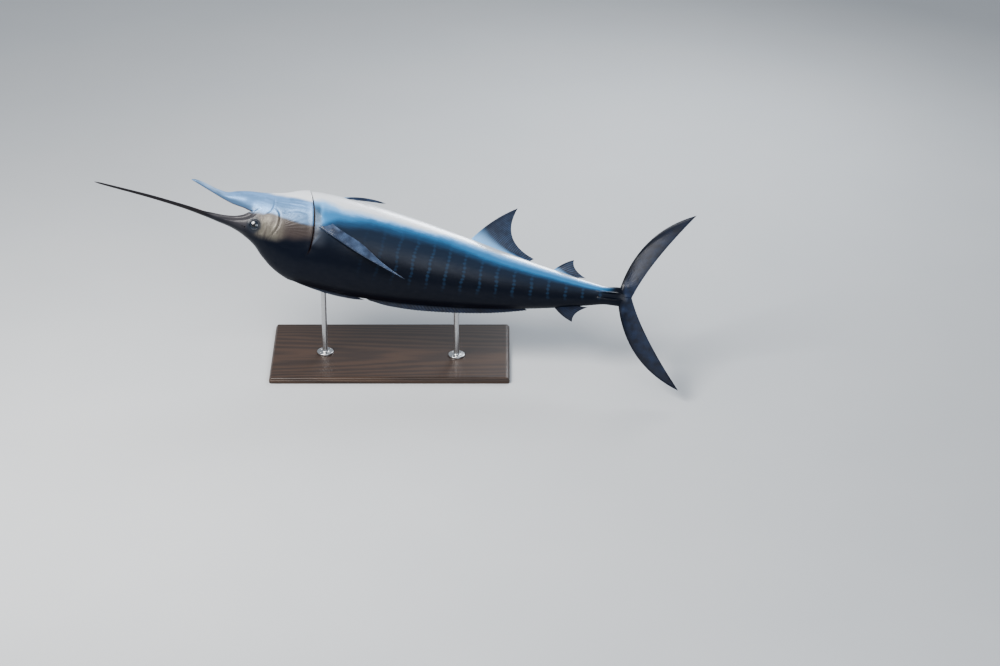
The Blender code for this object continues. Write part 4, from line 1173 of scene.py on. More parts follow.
def tail_grid(side):
    """Half the tail: rays fan from the end of the stalk to an edge drawn from the tip in to the fork."""

    def root(u):
        return np.stack([2.022 + 0.034 * u, side * (0.030 * (1 - u) - TAIL_OVERLAP * u)], axis=-1)

    def tip(u):
        fork = (FORK + 0.016, -side * TAIL_OVERLAP)
        return bezier((2.400, side * 0.470), (2.165, side * 0.190), fork, u**0.8)

    return median_grid(root, tip, arch=0.14)


def tail_foot(u, q, middle):
    """The end of the stalk thickens the tail's foot: 11.5 mm * exp(-distance from the stalk's end / 26
    mm), less towards the tail's front edge."""
    away = np.maximum(np.hypot(middle[..., 0] - 2.030, 0.75 * middle[..., 2]) - 0.022, 0)
    return 0.0115 * np.exp(-away / 0.026) * (0.22 + 0.78 * eased(u, 0.0, 0.40))


def smooth_path(places):
    """A smooth path through places (a, r, v), read from 0 to 1."""
    table = np.array(places)
    parts = [through(np.linspace(0, 1, len(table)), column) for column in table.T]
    return lambda t: np.stack([part(t) for part in parts], axis=-1)


def trunk_side(a, v):
    """Half the trunk's width at height v: width * (1 - level^2)^(power / 2), with level as in place_of."""
    level = np.clip(place_of(np.stack([a, 0 * a, v], axis=-1)), -1, 1)
    width, top_power, low_power = (line(a) for line in BODY_LINES[3:])
    return width * (1 - level**2) ** (np.where(level >= 0, top_power, low_power) / 2)


def pectoral_grid(side):
    """Rays fan from the root's line to the rear edge, and bulge as the leading edge does near it.

    Near the root a ray leaves the flank at a set slope: half width of the trunk - sink + slope * distance.
    """
    lead, trail = smooth_path(PECTORAL_FRONT), smooth_path(PECTORAL_REAR)
    first, last = np.array(PECTORAL_FRONT[0]), np.array(PECTORAL_FRONT[-1])

    def grid(u, q):
        low = first * (1 - u[..., None]) + np.array(PECTORAL_LAST_ROOT) * u[..., None]
        bulge = lead(q) - (first + (last - first) * q[..., None])
        flat = low + (trail(u**1.2) - low) * q[..., None] + bulge * (1 - u[..., None])
        a, v = flat[..., 0], flat[..., 2]
        away = np.hypot(a - low[..., 0], v - low[..., 2])
        slope = PECTORAL_RISE[0] + (PECTORAL_RISE[1] - PECTORAL_RISE[0]) * u
        sink = PECTORAL_SINK + SLIT_SINK * (1 - eased(a, *MOUND_SPAN))
        near = trunk_side(a, v) + mound(a, v) - sink + slope * away
        flat[..., 1] = near + (flat[..., 1] - near) * eased(away, 0.04, 0.17)
        return flat * np.array([1.0, side, 1.0])

    return grid


def pectoral_foot(u, q, middle):
    """Flesh round the pectoral's foot: 6 mm * exp(-(distance from the root / 42 mm)^2)."""
    away = np.linalg.norm(middle - middle[:, :1], axis=2)
    return 0.0060 * bell(away, 0.042) * (0.3 + 0.7 * eased(u, 0, 0.3)) * (1 - 0.20 * u)


def pelvic_grid(side):
    """A strap: rays run together from a short root along a curve under the belly, the leading one bowed
    down."""

    def grid(u, q):
        aft, out = u[..., None], q[..., None]
        low = np.array([0.398, 0.018, -0.250]) * (1 - aft) + np.array([0.414, 0.018, -0.252]) * aft
        high = bezier((0.665, 0.040, -0.286), (0.580, 0.036, -0.280), (0.472, 0.024, -0.262), u)
        bowed = np.array([0, 0, -0.018]) * 4 * out * (1 - out) * (1 - aft)
        return (low + (high - low) * out + bowed) * np.array([1.0, side, 1.0])

    return grid


def pelvic_foot(u, q, middle):
    """Flesh round a pelvic fin's foot: 3 mm * exp(-(q / 0.12)^2)."""
    return 0.0030 * bell(q, 0.12)


for word, side in (("back", 1), ("belly", -1)):
    add_fin(
        f"tail_fin_{word}_lobe", tail_grid(side), rays=24, rows=60, web=0.0022, rib=0.0016, lead=0.0058,
        flare=tail_foot, split=0.35, trail=0.03, nose=0.05, plain=0.105, full=1.6,
    )
for word, side in (("right", 1), ("left", -1)):
    add_fin(
        f"pectoral_fin_{word}", pectoral_grid(side), slot="pectoral_skin", rays=19, rows=64, web=0.0015,
        rib=0.0010, lead=0.0044, flare=pectoral_foot, split=0.40, trail=0.04, nose=0.07, plain=0.130,
    )
    add_fin(
        f"pelvic_fin_{word}", pelvic_grid(side), rays=4, rows=40, web=0.0008, rib=0.0009, lead=0.0014,
        flare=pelvic_foot, trail=0.06, nose=0.15, plain=0.040,
    )

# %% [markdown]
# ## The stand
#
# A museum stand should look made but say nothing: a slab of dark wood with a moulded edge, and two steel
# rods, each turned with a foot that is screwed down. The slab is its edge's profile carried round a
# rectangle with rounded corners. The rods and screws are profiles turned about their own axes.

# %% Base
BASE_SIZE = (1.300, 0.640, 0.032)
BASE_CORNER = 0.014
CORNER_POINTS = 9
# how far in from the outline, and height: bottom, side, moulding, top
BASE_PROFILE = [
    (0.0040, 0.0000), (0.0012, 0.0006), (0.0000, 0.0025), (0.0000, 0.0150), (0.0004, 0.0172),
    (0.0018, 0.0185), (0.0036, 0.0190), (0.0044, 0.0198), (0.0046, 0.0215), (0.0052, 0.0245),
    (0.0070, 0.0275), (0.0098, 0.0300), (0.0132, 0.0314), (0.0170, 0.0320), (0.0250, 0.0320),
]


def rounded_rectangle(inset):
    """Points round a rectangle with rounded corners, moved in by inset: corner centre + radius * (cos,
    sin)."""
    radius = max(BASE_CORNER - inset, 0.002)
    half = np.array(BASE_SIZE[:2]) / 2 - inset - radius
    turn = np.linspace(0, math.pi / 2, CORNER_POINTS)
    angle = np.concatenate([turn + k * math.pi / 2 for k in range(4)])
    corners = np.repeat([(1, 1), (-1, 1), (-1, -1), (1, -1)], CORNER_POINTS, axis=0)
    return corners * half + radius * np.stack([np.cos(angle), np.sin(angle)], axis=1)


def slab_mesh():
    """The profile's rings, closed by one flat face above and one below."""
    sides = 4 * CORNER_POINTS
    rings = np.stack([np.insert(rounded_rectangle(inset), 2, z, axis=1) for inset, z in BASE_PROFILE])
    closed = np.concatenate([rings, rings[:, :1]], axis=1)
    mesh = new_mesh("base_board", closed.reshape(-1, 3), grid_quads(closed.shape[:2], 0))
    shape = bmesh.new()
    shape.from_mesh(mesh)
    bmesh.ops.remove_doubles(shape, verts=shape.verts, dist=1e-6)
    bmesh.ops.holes_fill(shape, edges=[e for e in shape.edges if len(e.link_faces) == 1], sides=sides)
    bmesh.ops.recalc_face_normals(shape, faces=shape.faces)
    shape.to_mesh(mesh)
    shape.free()
    return mesh


BOARD_SHARP, ROD_SHARP, SCREW_SHARP = 40, 40, 35  # degrees
board = piece("base_board", slab_mesh(), ["stand_base"], BOARD_SHARP)
print("board:", len(board.data.polygons), "faces")

# %% Rods and screws
GAP = 0.0003  # between the slab and each foot
ROD_RADIUS, FOOT_RADIUS, FOOT_HEIGHT = 0.014, 0.045, 0.009
RODS = {"front": (-0.360, -0.020), "rear": (0.360, -0.055)}
SCREW_CIRCLE, SCREW_HEAD = 0.032, 0.0048
SLEEVE_RADIUS, SLEEVE_SHOWS = 0.0185, 0.016
ROD_EXTRA = 0.012  # the rod goes on this far into the fish
ROD_SIDES, SCREW_SIDES = 64, 24


def rod_profile(top, fish):
    """From the middle of the foot's underside, out over its chamfered rim and up the rod, with a sleeve
    where it goes into the fish at height fish, to its top."""
    z, sleeve = BASE_SIZE[2] + GAP, fish - SLEEVE_SHOWS
    rim = z + FOOT_HEIGHT
    return [
        (0, z), (FOOT_RADIUS - 0.0006, z), (FOOT_RADIUS, z + 0.0006), (FOOT_RADIUS, rim - 0.0030),
        (FOOT_RADIUS - 0.0006, rim - 0.0014), (FOOT_RADIUS - 0.0020, rim - 0.0003),
        (FOOT_RADIUS - 0.0034, rim), (ROD_RADIUS + 0.0075, rim), (ROD_RADIUS + 0.0060, rim + 0.0005),
        (ROD_RADIUS + 0.0032, rim + 0.0025), (ROD_RADIUS + 0.0012, rim + 0.0060), (ROD_RADIUS, rim + 0.0110),
        (ROD_RADIUS, sleeve - 0.0010), (ROD_RADIUS + 0.0005, sleeve - 0.0006),
        (SLEEVE_RADIUS - 0.0010, sleeve), (SLEEVE_RADIUS, sleeve + 0.0010), (SLEEVE_RADIUS, top - 0.0010),
        (SLEEVE_RADIUS - 0.0010, top), (0, top),
    ]


def screw_points(place, turn):
    """A domed screw head with a hexagon socket, by a profile turned in 24 sides; the socket's radius
    follows a hexagon: r = flat / cos(angle within the side)."""
    z = BASE_SIZE[2] + GAP + FOOT_HEIGHT
    profile = [
        (0, 0.0006), (0.0021, 0.0006), (0.0021, 0.0006), (0.0022, 0.0028), (0.0026, 0.0031),
        (0.0036, 0.0029), (0.0044, 0.0022), (SCREW_HEAD, 0.0010), (SCREW_HEAD, -0.0010), (0, -0.0010),
    ]
    points = turned(profile, SCREW_SIDES)
    angle = np.arctan2(points[..., 1], points[..., 0])
    hexagon = 0.92 / np.cos((angle + math.pi / 6) % (math.pi / 3) - math.pi / 6)
    points[1:4, :, :2] *= hexagon[1:4, :, None]
    cos, sin = math.cos(turn), math.sin(turn)
    points[..., :2] = points[..., :2] @ np.array([[cos, sin], [-sin, cos]])
    return points + np.array([place[0], place[1], z])


skin_world = points_of(skin_mesh)
stand_pieces = []
for word, (x, y) in RODS.items():
    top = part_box(f"stand_rod_{word}")[1].z + ROD_EXTRA
    near = np.hypot(skin_world[:, 0] - x, skin_world[:, 1] - y) < 1.2 * SLEEVE_RADIUS
    body = turned(rod_profile(top, skin_world[near, 2].min()), ROD_SIDES) + np.array([x, y, 0.0])
    mesh = new_mesh(f"rod_{word}", body.reshape(-1, 3), grid_quads(body.shape[:2], 0))
    merged(mesh, 1e-6)
    stand_pieces.append(piece(f"rod_{word}", mesh, [f"stand_rod_{word}"], ROD_SHARP))
    heads, quads, start = [], [], 0
    for k in range(4):
        angle = math.pi / 4 + k * math.pi / 2
        spot = (x + SCREW_CIRCLE * math.cos(angle), y + SCREW_CIRCLE * math.sin(angle))
        head = screw_points(spot, 0.4 + 1.1 * k)
        quads.append(grid_quads(head.shape[:2], start))
        heads.append(head.reshape(-1, 3))
        start += len(heads[-1])
    mesh = new_mesh(f"screws_{word}", np.concatenate(heads), np.concatenate(quads))
    merged(mesh, 1e-6)
    stand_pieces.append(piece(f"screws_{word}", mesh, (), SCREW_SHARP))

# %% [markdown]
# ## Sums on a surface
#
# A finish varies from place to place: darker here, rougher there. Blender works that out with nodes, which
# are tedious to place one by one. The small class below stands for a number that varies over a surface.
# Sums on it add the Math nodes, so a finish reads like arithmetic.

# %% Values and looks
class Value:
    """A number that varies over a surface: a socket whose +, -, *, / and ** add Math nodes."""

    def __init__(self, look, socket):
        self.look, self.socket = look, socket

    def __add__(self, other):
        return self.look.math("ADD", self, other)

    def __sub__(self, other):
        return self.look.math("SUBTRACT", self, other)

    def __rsub__(self, other):
        return self.look.math("SUBTRACT", other, self)

    def __mul__(self, other):
        return self.look.math("MULTIPLY", self, other)

    def __truediv__(self, other):
        return self.look.math("DIVIDE", self, other)

    def __rtruediv__(self, other):
        return self.look.math("DIVIDE", other, self)

    def __pow__(self, other):
        return self.look.math("POWER", self, other)

    __radd__, __rmul__ = __add__, __mul__


class Look:
    """A material. plain holds the shader's sockets that are the same all over."""

    def __init__(self, name, plain):
        self.material = bpy.data.materials.new(name)
        self.material.use_nodes = True
        self.tree = self.material.node_tree
        self.shader = self.tree.nodes["Principled BSDF"]
        self.set(plain)

    def join(self, value, socket):
        """Links a value to a socket, or writes a plain number there."""
        if isinstance(value, Value):
            self.tree.links.new(value.socket, socket)
        else:
            socket.default_value = value

    def set(self, sockets):
        """Gives the shader's sockets their values."""
        for name, value in sockets.items():
            self.join(value, self.shader.inputs[name])

    def node(self, kind, settings=None, sockets=None, out=0):
        """Adds a node: its type, its settings, then values or links for its sockets. Gives one of its
        outputs."""
        made = self.tree.nodes.new(kind)
        for name, value in (settings or {}).items():
            if name == "stops":
                while len(made.color_ramp.elements) < len(value):
                    made.color_ramp.elements.new(0.5)
                for stop, (place, colour) in zip(made.color_ramp.elements, value):
                    stop.position, stop.color = place, colour
            elif name == "between":
                made.color_ramp.interpolation = value
            else:
                setattr(made, name, value)
        for name, value in (sockets or {}).items():
            self.join(value, made.inputs[name])
        return Value(self, made.outputs[out])

    def math(self, operation, *terms):
        """One Math node over these terms."""
        return self.node("ShaderNodeMath", {"operation": operation}, dict(enumerate(terms)))

    def field(self, name, out="Fac"):
        """A number or vector stored on the mesh's points."""
        return self.node("ShaderNodeAttribute", {"attribute_name": name}, out=out)

    def here(self):
        """The place on the object."""
        return self.node("ShaderNodeTexCoord", out="Object")

    def axes(self, vector):
        """The three parts of a vector."""
        apart = self.node("ShaderNodeSeparateXYZ", sockets={0: vector})
        outputs = apart.socket.node.outputs
        return [Value(self, outputs[i]) for i in range(3)]

    def step(self, value, low, high):
        """0 below low and 1 above high, smooth between. Low may be above high."""
        sockets = {"Value": value, "From Min": low, "From Max": high}
        return self.node("ShaderNodeMapRange", {"interpolation_type": "SMOOTHSTEP"}, sockets)

    def band(self, value, rise, fall):
        """0, rising to 1 over the span rise, and falling back to 0 over the span fall."""
        return self.step(value, *rise) * self.step(value, fall[1], fall[0])

    def mix(self, share, first, second):
        """The first colour where share is 0, and the second where it is 1."""
        sockets = {0: share, 6: first, 7: second}
        return self.node("ShaderNodeMix", {"data_type": "RGBA", "clamp_factor": True}, sockets, out=2)

    def layers(self, colour, *coats):
        """The colour under coats laid on it in turn, each a share and a colour."""
        for share, coat in coats:
            colour = self.mix(share, colour, coat)
        return colour

    def noise(self, vector, sizes, detail=3.0, rough=0.55):
        """Noise with a mean of 0.5, whose pattern is as large as sizes say each way."""
        scale = tuple(1 / size for size in sizes)
        stretched = self.node("ShaderNodeVectorMath", {"operation": "MULTIPLY"}, {0: vector, 1: scale})
        sockets = {"Vector": stretched, "Scale": 1.0, "Detail": detail, "Roughness": rough}
        return self.node("ShaderNodeTexNoise", sockets=sockets)

    def line(self, value, points):
        """The height of a line through points (place, height), read at value by a ramp from black to
        white."""
        (x0, x1), levels = (points[0][0], points[-1][0]), [y for _, y in points]
        y0, y1 = min(levels), max(levels)
        stops = [((x - x0) / (x1 - x0), (*((y - y0) / (y1 - y0),) * 3, 1)) for x, y in points]
        share = (value - x0) / (x1 - x0)
        ramp = self.node("ShaderNodeValToRGB", {"stops": stops, "between": "EASE"}, {0: share})
        return ramp * (y1 - y0) + y0

    def bump(self, height, distance, strength=1.0, normal=None):
        """Small relief of this height times the distance, on top of a normal."""
        sockets = {"Height": height, "Distance": distance, "Strength": strength}
        if normal is not None:
            sockets["Normal"] = normal
        return self.node("ShaderNodeBump", sockets=sockets)


def rgb(red, green, blue):
    """A colour, from its linear parts."""
    return (red, green, blue, 1.0)


print("finishes are written as sums")

# %% [markdown]
# ## The skin's colours
#
# Lit by the sun this marlin shows four zones. The back is almost black. The cheek and gill cover are
# bronze, tan just behind the eye and brown towards the slit. Below a clear line through the mouth's corner,
# jaw and throat are pale steel blue. On the trunk a bright blue band lies between the dark flank and the
# white belly.
#
# The borders are lines on the straight fish, read from ramps, and noise moves them a little so that they
# look grown.

# %% Skin
NAVY, FLANK, DEEP_BLUE = rgb(0.0022, 0.0042, 0.0110), rgb(0.012, 0.021, 0.040), rgb(0.026, 0.074, 0.150)
COBALT, PALE_BLUE = rgb(0.060, 0.220, 0.440), rgb(0.260, 0.530, 0.880)
STEEL, DULL_STEEL, WHITE = rgb(0.190, 0.340, 0.590), rgb(0.085, 0.150, 0.250), rgb(0.82, 0.84, 0.87)
PEARL = rgb(0.42, 0.52, 0.64)
TAN, BROWN, SMUDGE = rgb(0.145, 0.134, 0.112), rgb(0.046, 0.036, 0.034), rgb(0.060, 0.050, 0.046)
SNOUT_GREY, BILL_BLACK = rgb(0.050, 0.048, 0.054), rgb(0.011, 0.010, 0.012)
EYE_SHADE, RIDGE_GREY = rgb(0.016, 0.022, 0.032), rgb(0.130, 0.165, 0.230)
FLESH_PINK, FLESH_RED, SHADOW = rgb(0.46, 0.27, 0.25), rgb(0.34, 0.155, 0.145), rgb(0.016, 0.005, 0.005)
# the first colour is painted shade, for the dip behind the gill slit
PAINTED_SLIT_SHADE, SHOULDER_GREY = rgb(0.022, 0.058, 0.105), rgb(0.058, 0.066, 0.084)
# heights on the head, against station: lower edge of the dark crown, upper edge of the blue, lower lip
DARK_HEAD = [
    (-0.30, -0.020), (-0.20, 0.014), (-0.05, 0.034), (0.06, 0.056), (0.13, 0.054), (0.20, 0.030),
    (0.33, 0.002),
]
STEEL_HEAD = [
    (-0.30, -0.060), (-0.03, -0.062), (0.03, -0.068), (0.07, -0.082), (0.15, -0.074), (0.24, -0.069),
    (0.33, -0.074),
]
LOWER_LIP = [(-0.38, -0.158), (-0.24, -0.114), (-0.15, -0.094), (-0.06, -0.079), (0.04, -0.069)]
# levels on the trunk, from belly (-1) to waist (0), against station: the dark flank's start, the white's end
DARK_TRUNK = [
    (0.24, -0.16), (0.33, -0.26), (0.45, -0.45), (0.62, -0.56), (1.00, -0.60), (1.40, -0.50), (2.05, -0.40),
]
WHITE_TRUNK = [
    (0.24, -0.76), (0.33, -0.80), (0.38, -0.77), (0.45, -0.72), (0.62, -0.74), (1.20, -0.84), (2.05, -0.90),
]
RIDGE_FOOT, RIDGE_WAY = (0.355, -0.040), (-0.458, 0.889)  # the pale ridge above the pectoral fin
BAR_COUNT, BEAD_COUNT = 66.0, 300.0  # turns of the waves that place bars along the flank and dots along a bar


def trunk_colour(look, a, v, girth, broad, fine, streak):
    """White belly, blue band, dark flank and back, with rows of faint pale bars and dots."""
    level = girth + broad * 0.09 + fine * 0.05
    dark, white = look.line(a, DARK_TRUNK), look.line(a, WHITE_TRUNK)
    across = look.math("SINE", a * BAR_COUNT + broad * 2.4)
    beads = look.math("SINE", v * BEAD_COUNT + broad * 9.0)
    bars = look.step(across + beads * 0.10 + fine * 0.45, 0.74, 1.12)
    bars = bars * look.step(girth, 0.70, 0.20) * look.step(a, 0.45, 1.00)
    dark_back = look.step(girth + streak * 0.10, -0.42, 0.22)
    flank = look.layers(FLANK, (dark_back, NAVY), (bars * 0.34, DEEP_BLUE))
    return look.layers(
        WHITE,
        (look.step(level, white - 0.09, white + 0.06), PALE_BLUE),
        (look.step(level + streak * 0.05, white, dark * 0.5 + white * 0.5), COBALT),
        (look.step(level + streak * 0.06, dark - 0.14, dark + 0.01), DEEP_BLUE),
        (look.step(level + streak * 0.08, dark - 0.06, dark + 0.16), flank),
    )


def gill_trunk(look, trunk, past_gill, a, v):
    """The trunk's colour near the gill slit, past_gill metres behind it: painted blue shade in the dip, a
    grey shoulder and a pale rim under the cover's edge that is a painted highlight. The pale ridge above the
    fin is a line, by its distance from it."""
    # painted highlight: a pale rim just behind the gill cover's edge, where the edge catches the light
    rim = look.step(past_gill, 0.010, 0.006) * look.step(v, -0.105, -0.145)
    # painted shade in the dip just behind the gill slit
    shade = look.step(past_gill, 0.060, 0.032) * look.band(v, (-0.215, -0.160), (-0.105, -0.070))
    shoulder = look.step(past_gill, 0.100, 0.030) * look.band(v, (-0.085, -0.050), (0.000, 0.050))
    behind, above = a - RIDGE_FOOT[0], v - RIDGE_FOOT[1]
    aside = behind * RIDGE_WAY[1] - above * RIDGE_WAY[0]
    along = behind * RIDGE_WAY[0] + above * RIDGE_WAY[1]
    ridge_share = look.step(aside * aside, 0.00010, 0.00001) * look.band(along, (-0.01, 0.03), (0.06, 0.12))
    return look.layers(
        trunk,
        (shade * 0.90, PAINTED_SLIT_SHADE),
        (shoulder * 0.45, SHOULDER_GREY),
        (rim * 0.55, WHITE),
        (look.step(a, 1.90, 2.01), NAVY),
        (ridge_share * 0.15, RIDGE_GREY),
    )


def jaw_colour(look, a, v, place, broad, fine, streak):
    """Jaw and throat: steel blue, pearly towards the chin, duller at the lip and gill cover, and white
    below."""
    lip = look.line(a, LOWER_LIP)
    return look.layers(
        STEEL,
        (look.step(streak, -0.05, 0.30) * 0.35, PALE_BLUE),
        (look.step(place, -0.205, -0.090) * look.step(a, 0.02, 0.13) * 0.95, DULL_STEEL),
        (look.step(a, -0.14, -0.28) * 0.55, PEARL),
        (look.step(broad + streak * 0.35 + fine * 0.35, 0.02, 0.17) * 0.38, DULL_STEEL),
        (look.step(v + broad * 0.02, lip - 0.026, lip - 0.002) * look.step(a, 0.075, 0.0), DULL_STEEL),
        (look.step(v + broad * 0.03 + a * 0.04, -0.176, -0.198) * look.step(a, -0.02, 0.08), WHITE),
    )


def head_colour(look, a, v, fish, broad, fine, streak):
    """Steel blue below, bronze cheek, dark crown, grey snout and black bill, with a dark surround to the
    eye."""
    place = v + broad * 0.012 + fine * 0.006
    edge, crown = look.line(a, STEEL_HEAD), look.line(a, DARK_HEAD)
    smudge = look.noise(fish, (0.012, 0.012, 0.060), detail=3.0)
    from_eye = look.math("SQRT", a * a + v * v)
    cheek = look.layers(
        TAN,
        (look.step(a + fine * 0.03 - v * 0.10, 0.105, 0.190), BROWN),
        (look.step(smudge, 0.42, 0.66) * look.step(a, 0.30, 0.10) * 0.60, SMUDGE),
        (look.step(place - edge, 0.034, 0.006) * 0.70, SMUDGE),
        (look.step(a, 0.034, -0.010), SNOUT_GREY),
        (look.step(place, crown - 0.034, crown + 0.018), NAVY),
    )
    return look.layers(
        jaw_colour(look, a, v, place, broad, fine, streak),
        (look.step(place, edge - 0.011, edge + 0.009), cheek),
        (look.step(from_eye + fine * 0.012, 0.050, 0.028) * 0.85, EYE_SHADE),
        (look.step(a + broad * 0.05, -0.205, -0.300) * look.step(v - a * 0.14, -0.055, -0.045), BILL_BLACK),
    )


def skin_colour(look, fish, girth):
    """The colour of the outer skin, from a place on the straight fish and a height between belly and
    back."""
    a, r, v = look.axes(fish)
    broad = look.noise(fish, (0.16, 0.10, 0.07), detail=2.0) - 0.5
    fine = look.noise(fish, (0.030, 0.018, 0.018), detail=4.0) - 0.5
    streak = look.noise(fish, (0.09, 0.006, 0.006), detail=3.0) - 0.5
    past_gill = a + (v - GILL_REARMOST) ** 2.0 * GILL_BOW - GILL_EDGE
    trunk = gill_trunk(look, trunk_colour(look, a, v, girth, broad, fine, streak), past_gill, a, v)
    head = head_colour(look, a, v, fish, broad, fine, streak)
    return look.mix(look.step(past_gill, -0.0008, 0.0008), head, trunk), fine


skin_look = Look("marlin skin", {"Coat Roughness": 0.22, "IOR": 1.36, "Specular IOR Level": 0.28})
fish_place, girth_level = skin_look.field("fish", "Vector"), skin_look.field("girth")
outer, fine = skin_colour(skin_look, fish_place, girth_level)
inside_mouth, deep_place = skin_look.field("inside"), skin_look.field("deep")
pores = skin_look.noise(fish_place, (0.030, 0.006, 0.010), detail=4.0)
lining = skin_look.mix(skin_look.step(pores, 0.30, 0.75), FLESH_PINK, FLESH_RED)
colour = skin_look.layers(outer, (inside_mouth * 0.9, lining), (skin_look.step(deep_place, 0.1, 0.9), SHADOW))
scales = skin_look.noise(fish_place, (0.011, 0.0016, 0.0016), detail=2.0, rough=0.6)
wrinkle = skin_look.noise(fish_place, (0.05, 0.012, 0.012), detail=2.0)
silver = skin_look.node("ShaderNodeRGBToBW", sockets={0: colour})
skin_look.set({
    "Base Color": colour,
    "Roughness": 0.34 + (scales - 0.5) * 0.18 + inside_mouth * 0.05,
    "Metallic": skin_look.step(silver, 0.02, 0.20) * (1 - inside_mouth) * 0.34,
    "Coat Weight": 0.17 + fine * 0.30,
    "Normal": skin_look.bump(wrinkle, 0.0012, 0.35, normal=skin_look.bump(scales, 0.00035, 0.55)),
})
skin.data.materials.append(skin_look.material)
print("skin look:", len(skin_look.tree.nodes), "nodes")

# %% [markdown]
# ## Eye, fins and stand
#
# The eye is a painted dome: a black pupil, a thin bright ring, and a dark blue iris with fine rays. The
# fins are almost black with bluish membranes between their rays, the pectoral fins blue-grey with a dark
# leading edge that is partly their own colour and partly painted shade. Wood is drawn as rings of a log
# cut lengthwise, and steel with the fine marks of turning.

# %% Eye look
EYE_GLOSS = {"Roughness": 0.12, "Coat Weight": 1.0, "Coat Roughness": 0.02, "Specular IOR Level": 0.6}
eye_look = Look("marlin eye", EYE_GLOSS)
x, y, z = eye_look.axes(eye_look.field("eye", "Vector"))
radius, turn = eye_look.math("SQRT", x * x + y * y), eye_look.math("ARCTAN2", y, x)
spun = eye_look.node("ShaderNodeCombineXYZ", sockets={0: turn * 7.0, 1: radius * 5.0})
fibres = eye_look.noise(spun, (1, 1, 1), detail=4.0)
eye_colour = eye_look.layers(
    rgb(0.004, 0.010, 0.022),
    (eye_look.step(fibres, 0.35, 0.70), rgb(0.014, 0.028, 0.046)),
    (eye_look.step(radius + fibres * 0.06, 0.555, 0.520), rgb(0.095, 0.085, 0.060)),
    (eye_look.step(radius + fibres * 0.05, 0.80, 0.93), rgb(0.006, 0.009, 0.016)),
    (eye_look.step(radius, PUPIL + 0.012, PUPIL - 0.012), rgb(0.001, 0.001, 0.002)),
)
eye_look.set({"Base Color": eye_colour, "Metallic": eye_look.step(radius, PUPIL, PUPIL + 0.02) * 0.25})
for ball in eyes:
    ball.data.materials.append(eye_look.material)
print("eyes painted")

# %% Fin looks
def fin_look(name, dark, web_colour, pale_root):
    """A fin's finish: dark rays, membranes of web_colour between them, and the body's pale colour at the
    foot of the fins under the belly."""
    look = Look(name, {"Coat Roughness": 0.12, "IOR": 1.38, "Specular IOR Level": 0.36})
    fish = look.field("fish", "Vector")
    count, along, across = look.axes(look.field("ray", "Vector"))
    mottle = look.noise(fish, (0.05, 0.05, 0.05), detail=4.0)
    grain = look.noise(fish, (0.006, 0.003, 0.006), detail=3.0)
    web = look.step(look.field("lift"), 0.55, 0.10) * look.step(mottle, 0.25, 0.70)
    low_foot = look.step(along, 0.40, 0.05) * look.step(look.field("girth"), -0.55, -0.80)
    colour = look.layers(
        dark,
        (web * 0.8, web_colour),
        # partly painted shade: the leading edge is darkened, widest at the root
        (look.step(across + along * 0.20, 0.36, 0.10) * 0.85, dark),
        (look.step(along, 0.20, 0.05) * 0.80, dark),
        (low_foot * pale_root, PALE_BLUE),
    )
    look.set({
        "Base Color": colour,
        "Roughness": 0.30 + grain * 0.14,
        "Coat Weight": 0.10 + mottle * 0.2,
        "Normal": look.bump(grain, 0.0004, 0.5),
    })
    return look.material


dark_fin = fin_look("fin skin", rgb(0.005, 0.007, 0.015), rgb(0.014, 0.030, 0.075), 0.0)
belly_fin = fin_look("belly fin skin", rgb(0.012, 0.018, 0.036), rgb(0.045, 0.080, 0.150), 0.8)
side_fin = fin_look("pectoral skin", rgb(0.020, 0.030, 0.056), rgb(0.100, 0.152, 0.260), 0.0)
FIN_LOOKS = {"pectoral": side_fin, "anal": belly_fin, "pelvic": belly_fin}
for obj in fins:
    obj.data.materials.append(FIN_LOOKS.get(obj.name.split("_")[0], dark_fin))
print("fins painted:", len(fins))

# %% Stand looks
wood = Look("dark wood", {"Coat Weight": 0.25, "Coat Roughness": 0.20})
here = wood.here()
x, y, z = wood.axes(here)
warp = wood.noise(here, (0.9, 0.10, 0.10), detail=3.0)
grain = wood.noise(here, (0.10, 0.0016, 0.0016), detail=4.0)
from_heart = wood.math("SQRT", (y + 0.05) ** 2.0 + (z + 0.28 + x * 0.03) ** 2.0)
rings = wood.math("SINE", from_heart * 300.0 + warp * 14.0)
tone = wood.step(rings * 0.22 + grain * 1.1, 0.05, 1.05)
wood.set({
    "Base Color": wood.mix(tone, rgb(0.020, 0.011, 0.008), rgb(0.062, 0.034, 0.020)),
    "Roughness": 0.36 + grain * 0.16,
    "Normal": wood.bump(grain, 0.00025, 0.5),
})
board.data.materials.append(wood.material)

steel = Look("turned steel", {"Metallic": 1.0})
here = steel.here()
marks = steel.noise(here, (0.02, 0.02, 0.0007), detail=3.0)
cloud = steel.noise(here, (0.05, 0.05, 0.09), detail=2.0)
steel.set({
    "Base Color": steel.mix(cloud, rgb(0.46, 0.47, 0.48), rgb(0.62, 0.62, 0.62)),
    "Roughness": 0.20 + marks * 0.18,
    "Normal": steel.bump(marks, 0.00008, 0.6),
})
for obj in stand_pieces:
    obj.data.materials.append(steel.material)
print("stand finished")

# %% [markdown]
# ## Floor, light and camera
#
# The floor is plain and pale. Soft light comes from a large panel above and to the left, as the sun does in
# the picture, with a weaker panel in front so that the dark back can be read, and one behind for the rim.
# The camera looks down 28 degrees from far off, at the picture's framing: the eye of the fish falls on the
# same spot.

# %% Floor and lights
FLOOR_HALF = 60.0
corners = FLOOR_HALF * np.array([(-1, -1, 0), (1, -1, 0), (1, 1, 0), (-1, 1, 0)])
studio_floor = placed("studio_floor", new_mesh("studio_floor", corners, np.array([[0, 1, 2, 3]])))
floor_look = Look("pale floor", {"Roughness": 0.75, "Specular IOR Level": 0.2})
here = floor_look.here()
soft = floor_look.noise(here, (0.8, 0.8, 0.8), detail=2.0)
floor_look.set({"Base Color": floor_look.mix(soft, rgb(0.50, 0.515, 0.53), rgb(0.54, 0.55, 0.56))})
studio_floor.data.materials.append(floor_look.material)

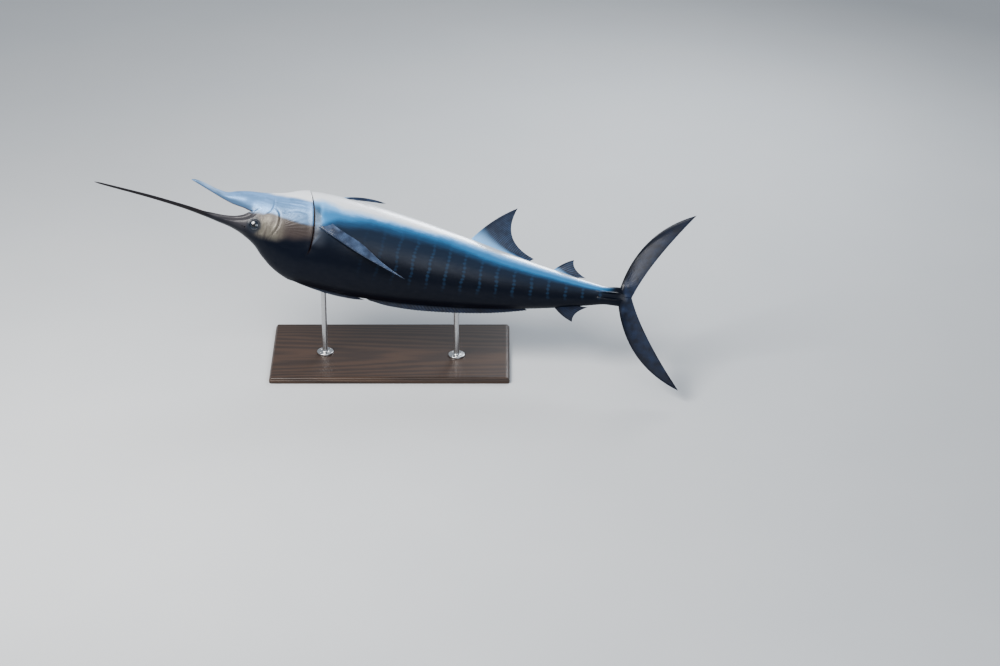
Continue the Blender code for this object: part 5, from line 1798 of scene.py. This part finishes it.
world = bpy.data.worlds.new("studio")
world.use_nodes = True
sky = world.node_tree.nodes["Background"].inputs
sky["Color"].default_value = rgb(0.72, 0.78, 0.86)
sky["Strength"].default_value = 0.55
bpy.context.scene.world = world
MIDDLE = Vector((0.0, 0.0, 0.6))


def panel(name, place, size, power, colour):
    """A round panel of light at a place, facing the middle of the fish."""
    lamp = bpy.data.lights.new(name, "AREA")
    lamp.shape, lamp.size, lamp.energy, lamp.color = "DISK", size, power, colour
    obj = placed(name, lamp)
    obj.location = place
    obj.rotation_euler = (MIDDLE - Vector(place)).to_track_quat("-Z", "Y").to_euler()


panel("key", (-2.6, -2.2, 4.6), 3.0, 400.0, (1.0, 0.97, 0.93))
panel("front", (2.4, -5.2, 3.4), 3.2, 90.0, (0.93, 0.96, 1.0))
panel("rim", (2.2, 3.6, 3.2), 2.2, 120.0, (0.92, 0.96, 1.0))
print("floor and three panels")

# %% Camera
PICTURE = (1000, 666)
EYE_PIXEL = (254, 225)  # where the eye falls in the picture
EYE_ASIDE = 0.07  # from the fish's middle to its right eye
FOCAL_PIXELS = 2992.0
ELEVATION = math.radians(28)
DISTANCE = 16.0
SENSOR_WIDTH, FARTHEST = 36.0, 200.0


def camera_matrix():
    """The camera's place and turn: from the eye, across and down by its distance from the picture's
    middle, and back along the line of sight."""
    eye = posed([0.0, EYE_ASIDE, 0.0])
    backward = np.array([0.0, -math.cos(ELEVATION), math.sin(ELEVATION)])
    right = np.array([1.0, 0.0, 0.0])
    up = np.cross(backward, right)
    across = (PICTURE[0] / 2 - EYE_PIXEL[0]) / FOCAL_PIXELS * DISTANCE
    down = (PICTURE[1] / 2 - EYE_PIXEL[1]) / FOCAL_PIXELS * DISTANCE
    place = eye + right * across - up * down + backward * DISTANCE
    matrix = Matrix([right, up, backward]).transposed().to_4x4()
    matrix.translation = Vector(place)
    return matrix


camera = placed("camera", bpy.data.cameras.new("camera"))
camera.data.sensor_width = SENSOR_WIDTH
camera.data.lens = FOCAL_PIXELS * SENSOR_WIDTH / PICTURE[0]
camera.data.clip_end = FARTHEST
camera.matrix_world = camera_matrix()
scene = bpy.context.scene
scene.camera = camera
scene.view_settings.view_transform = "AgX"
scene.view_settings.look = "AgX - Medium High Contrast"
print("camera at", [round(x, 2) for x in camera.location])
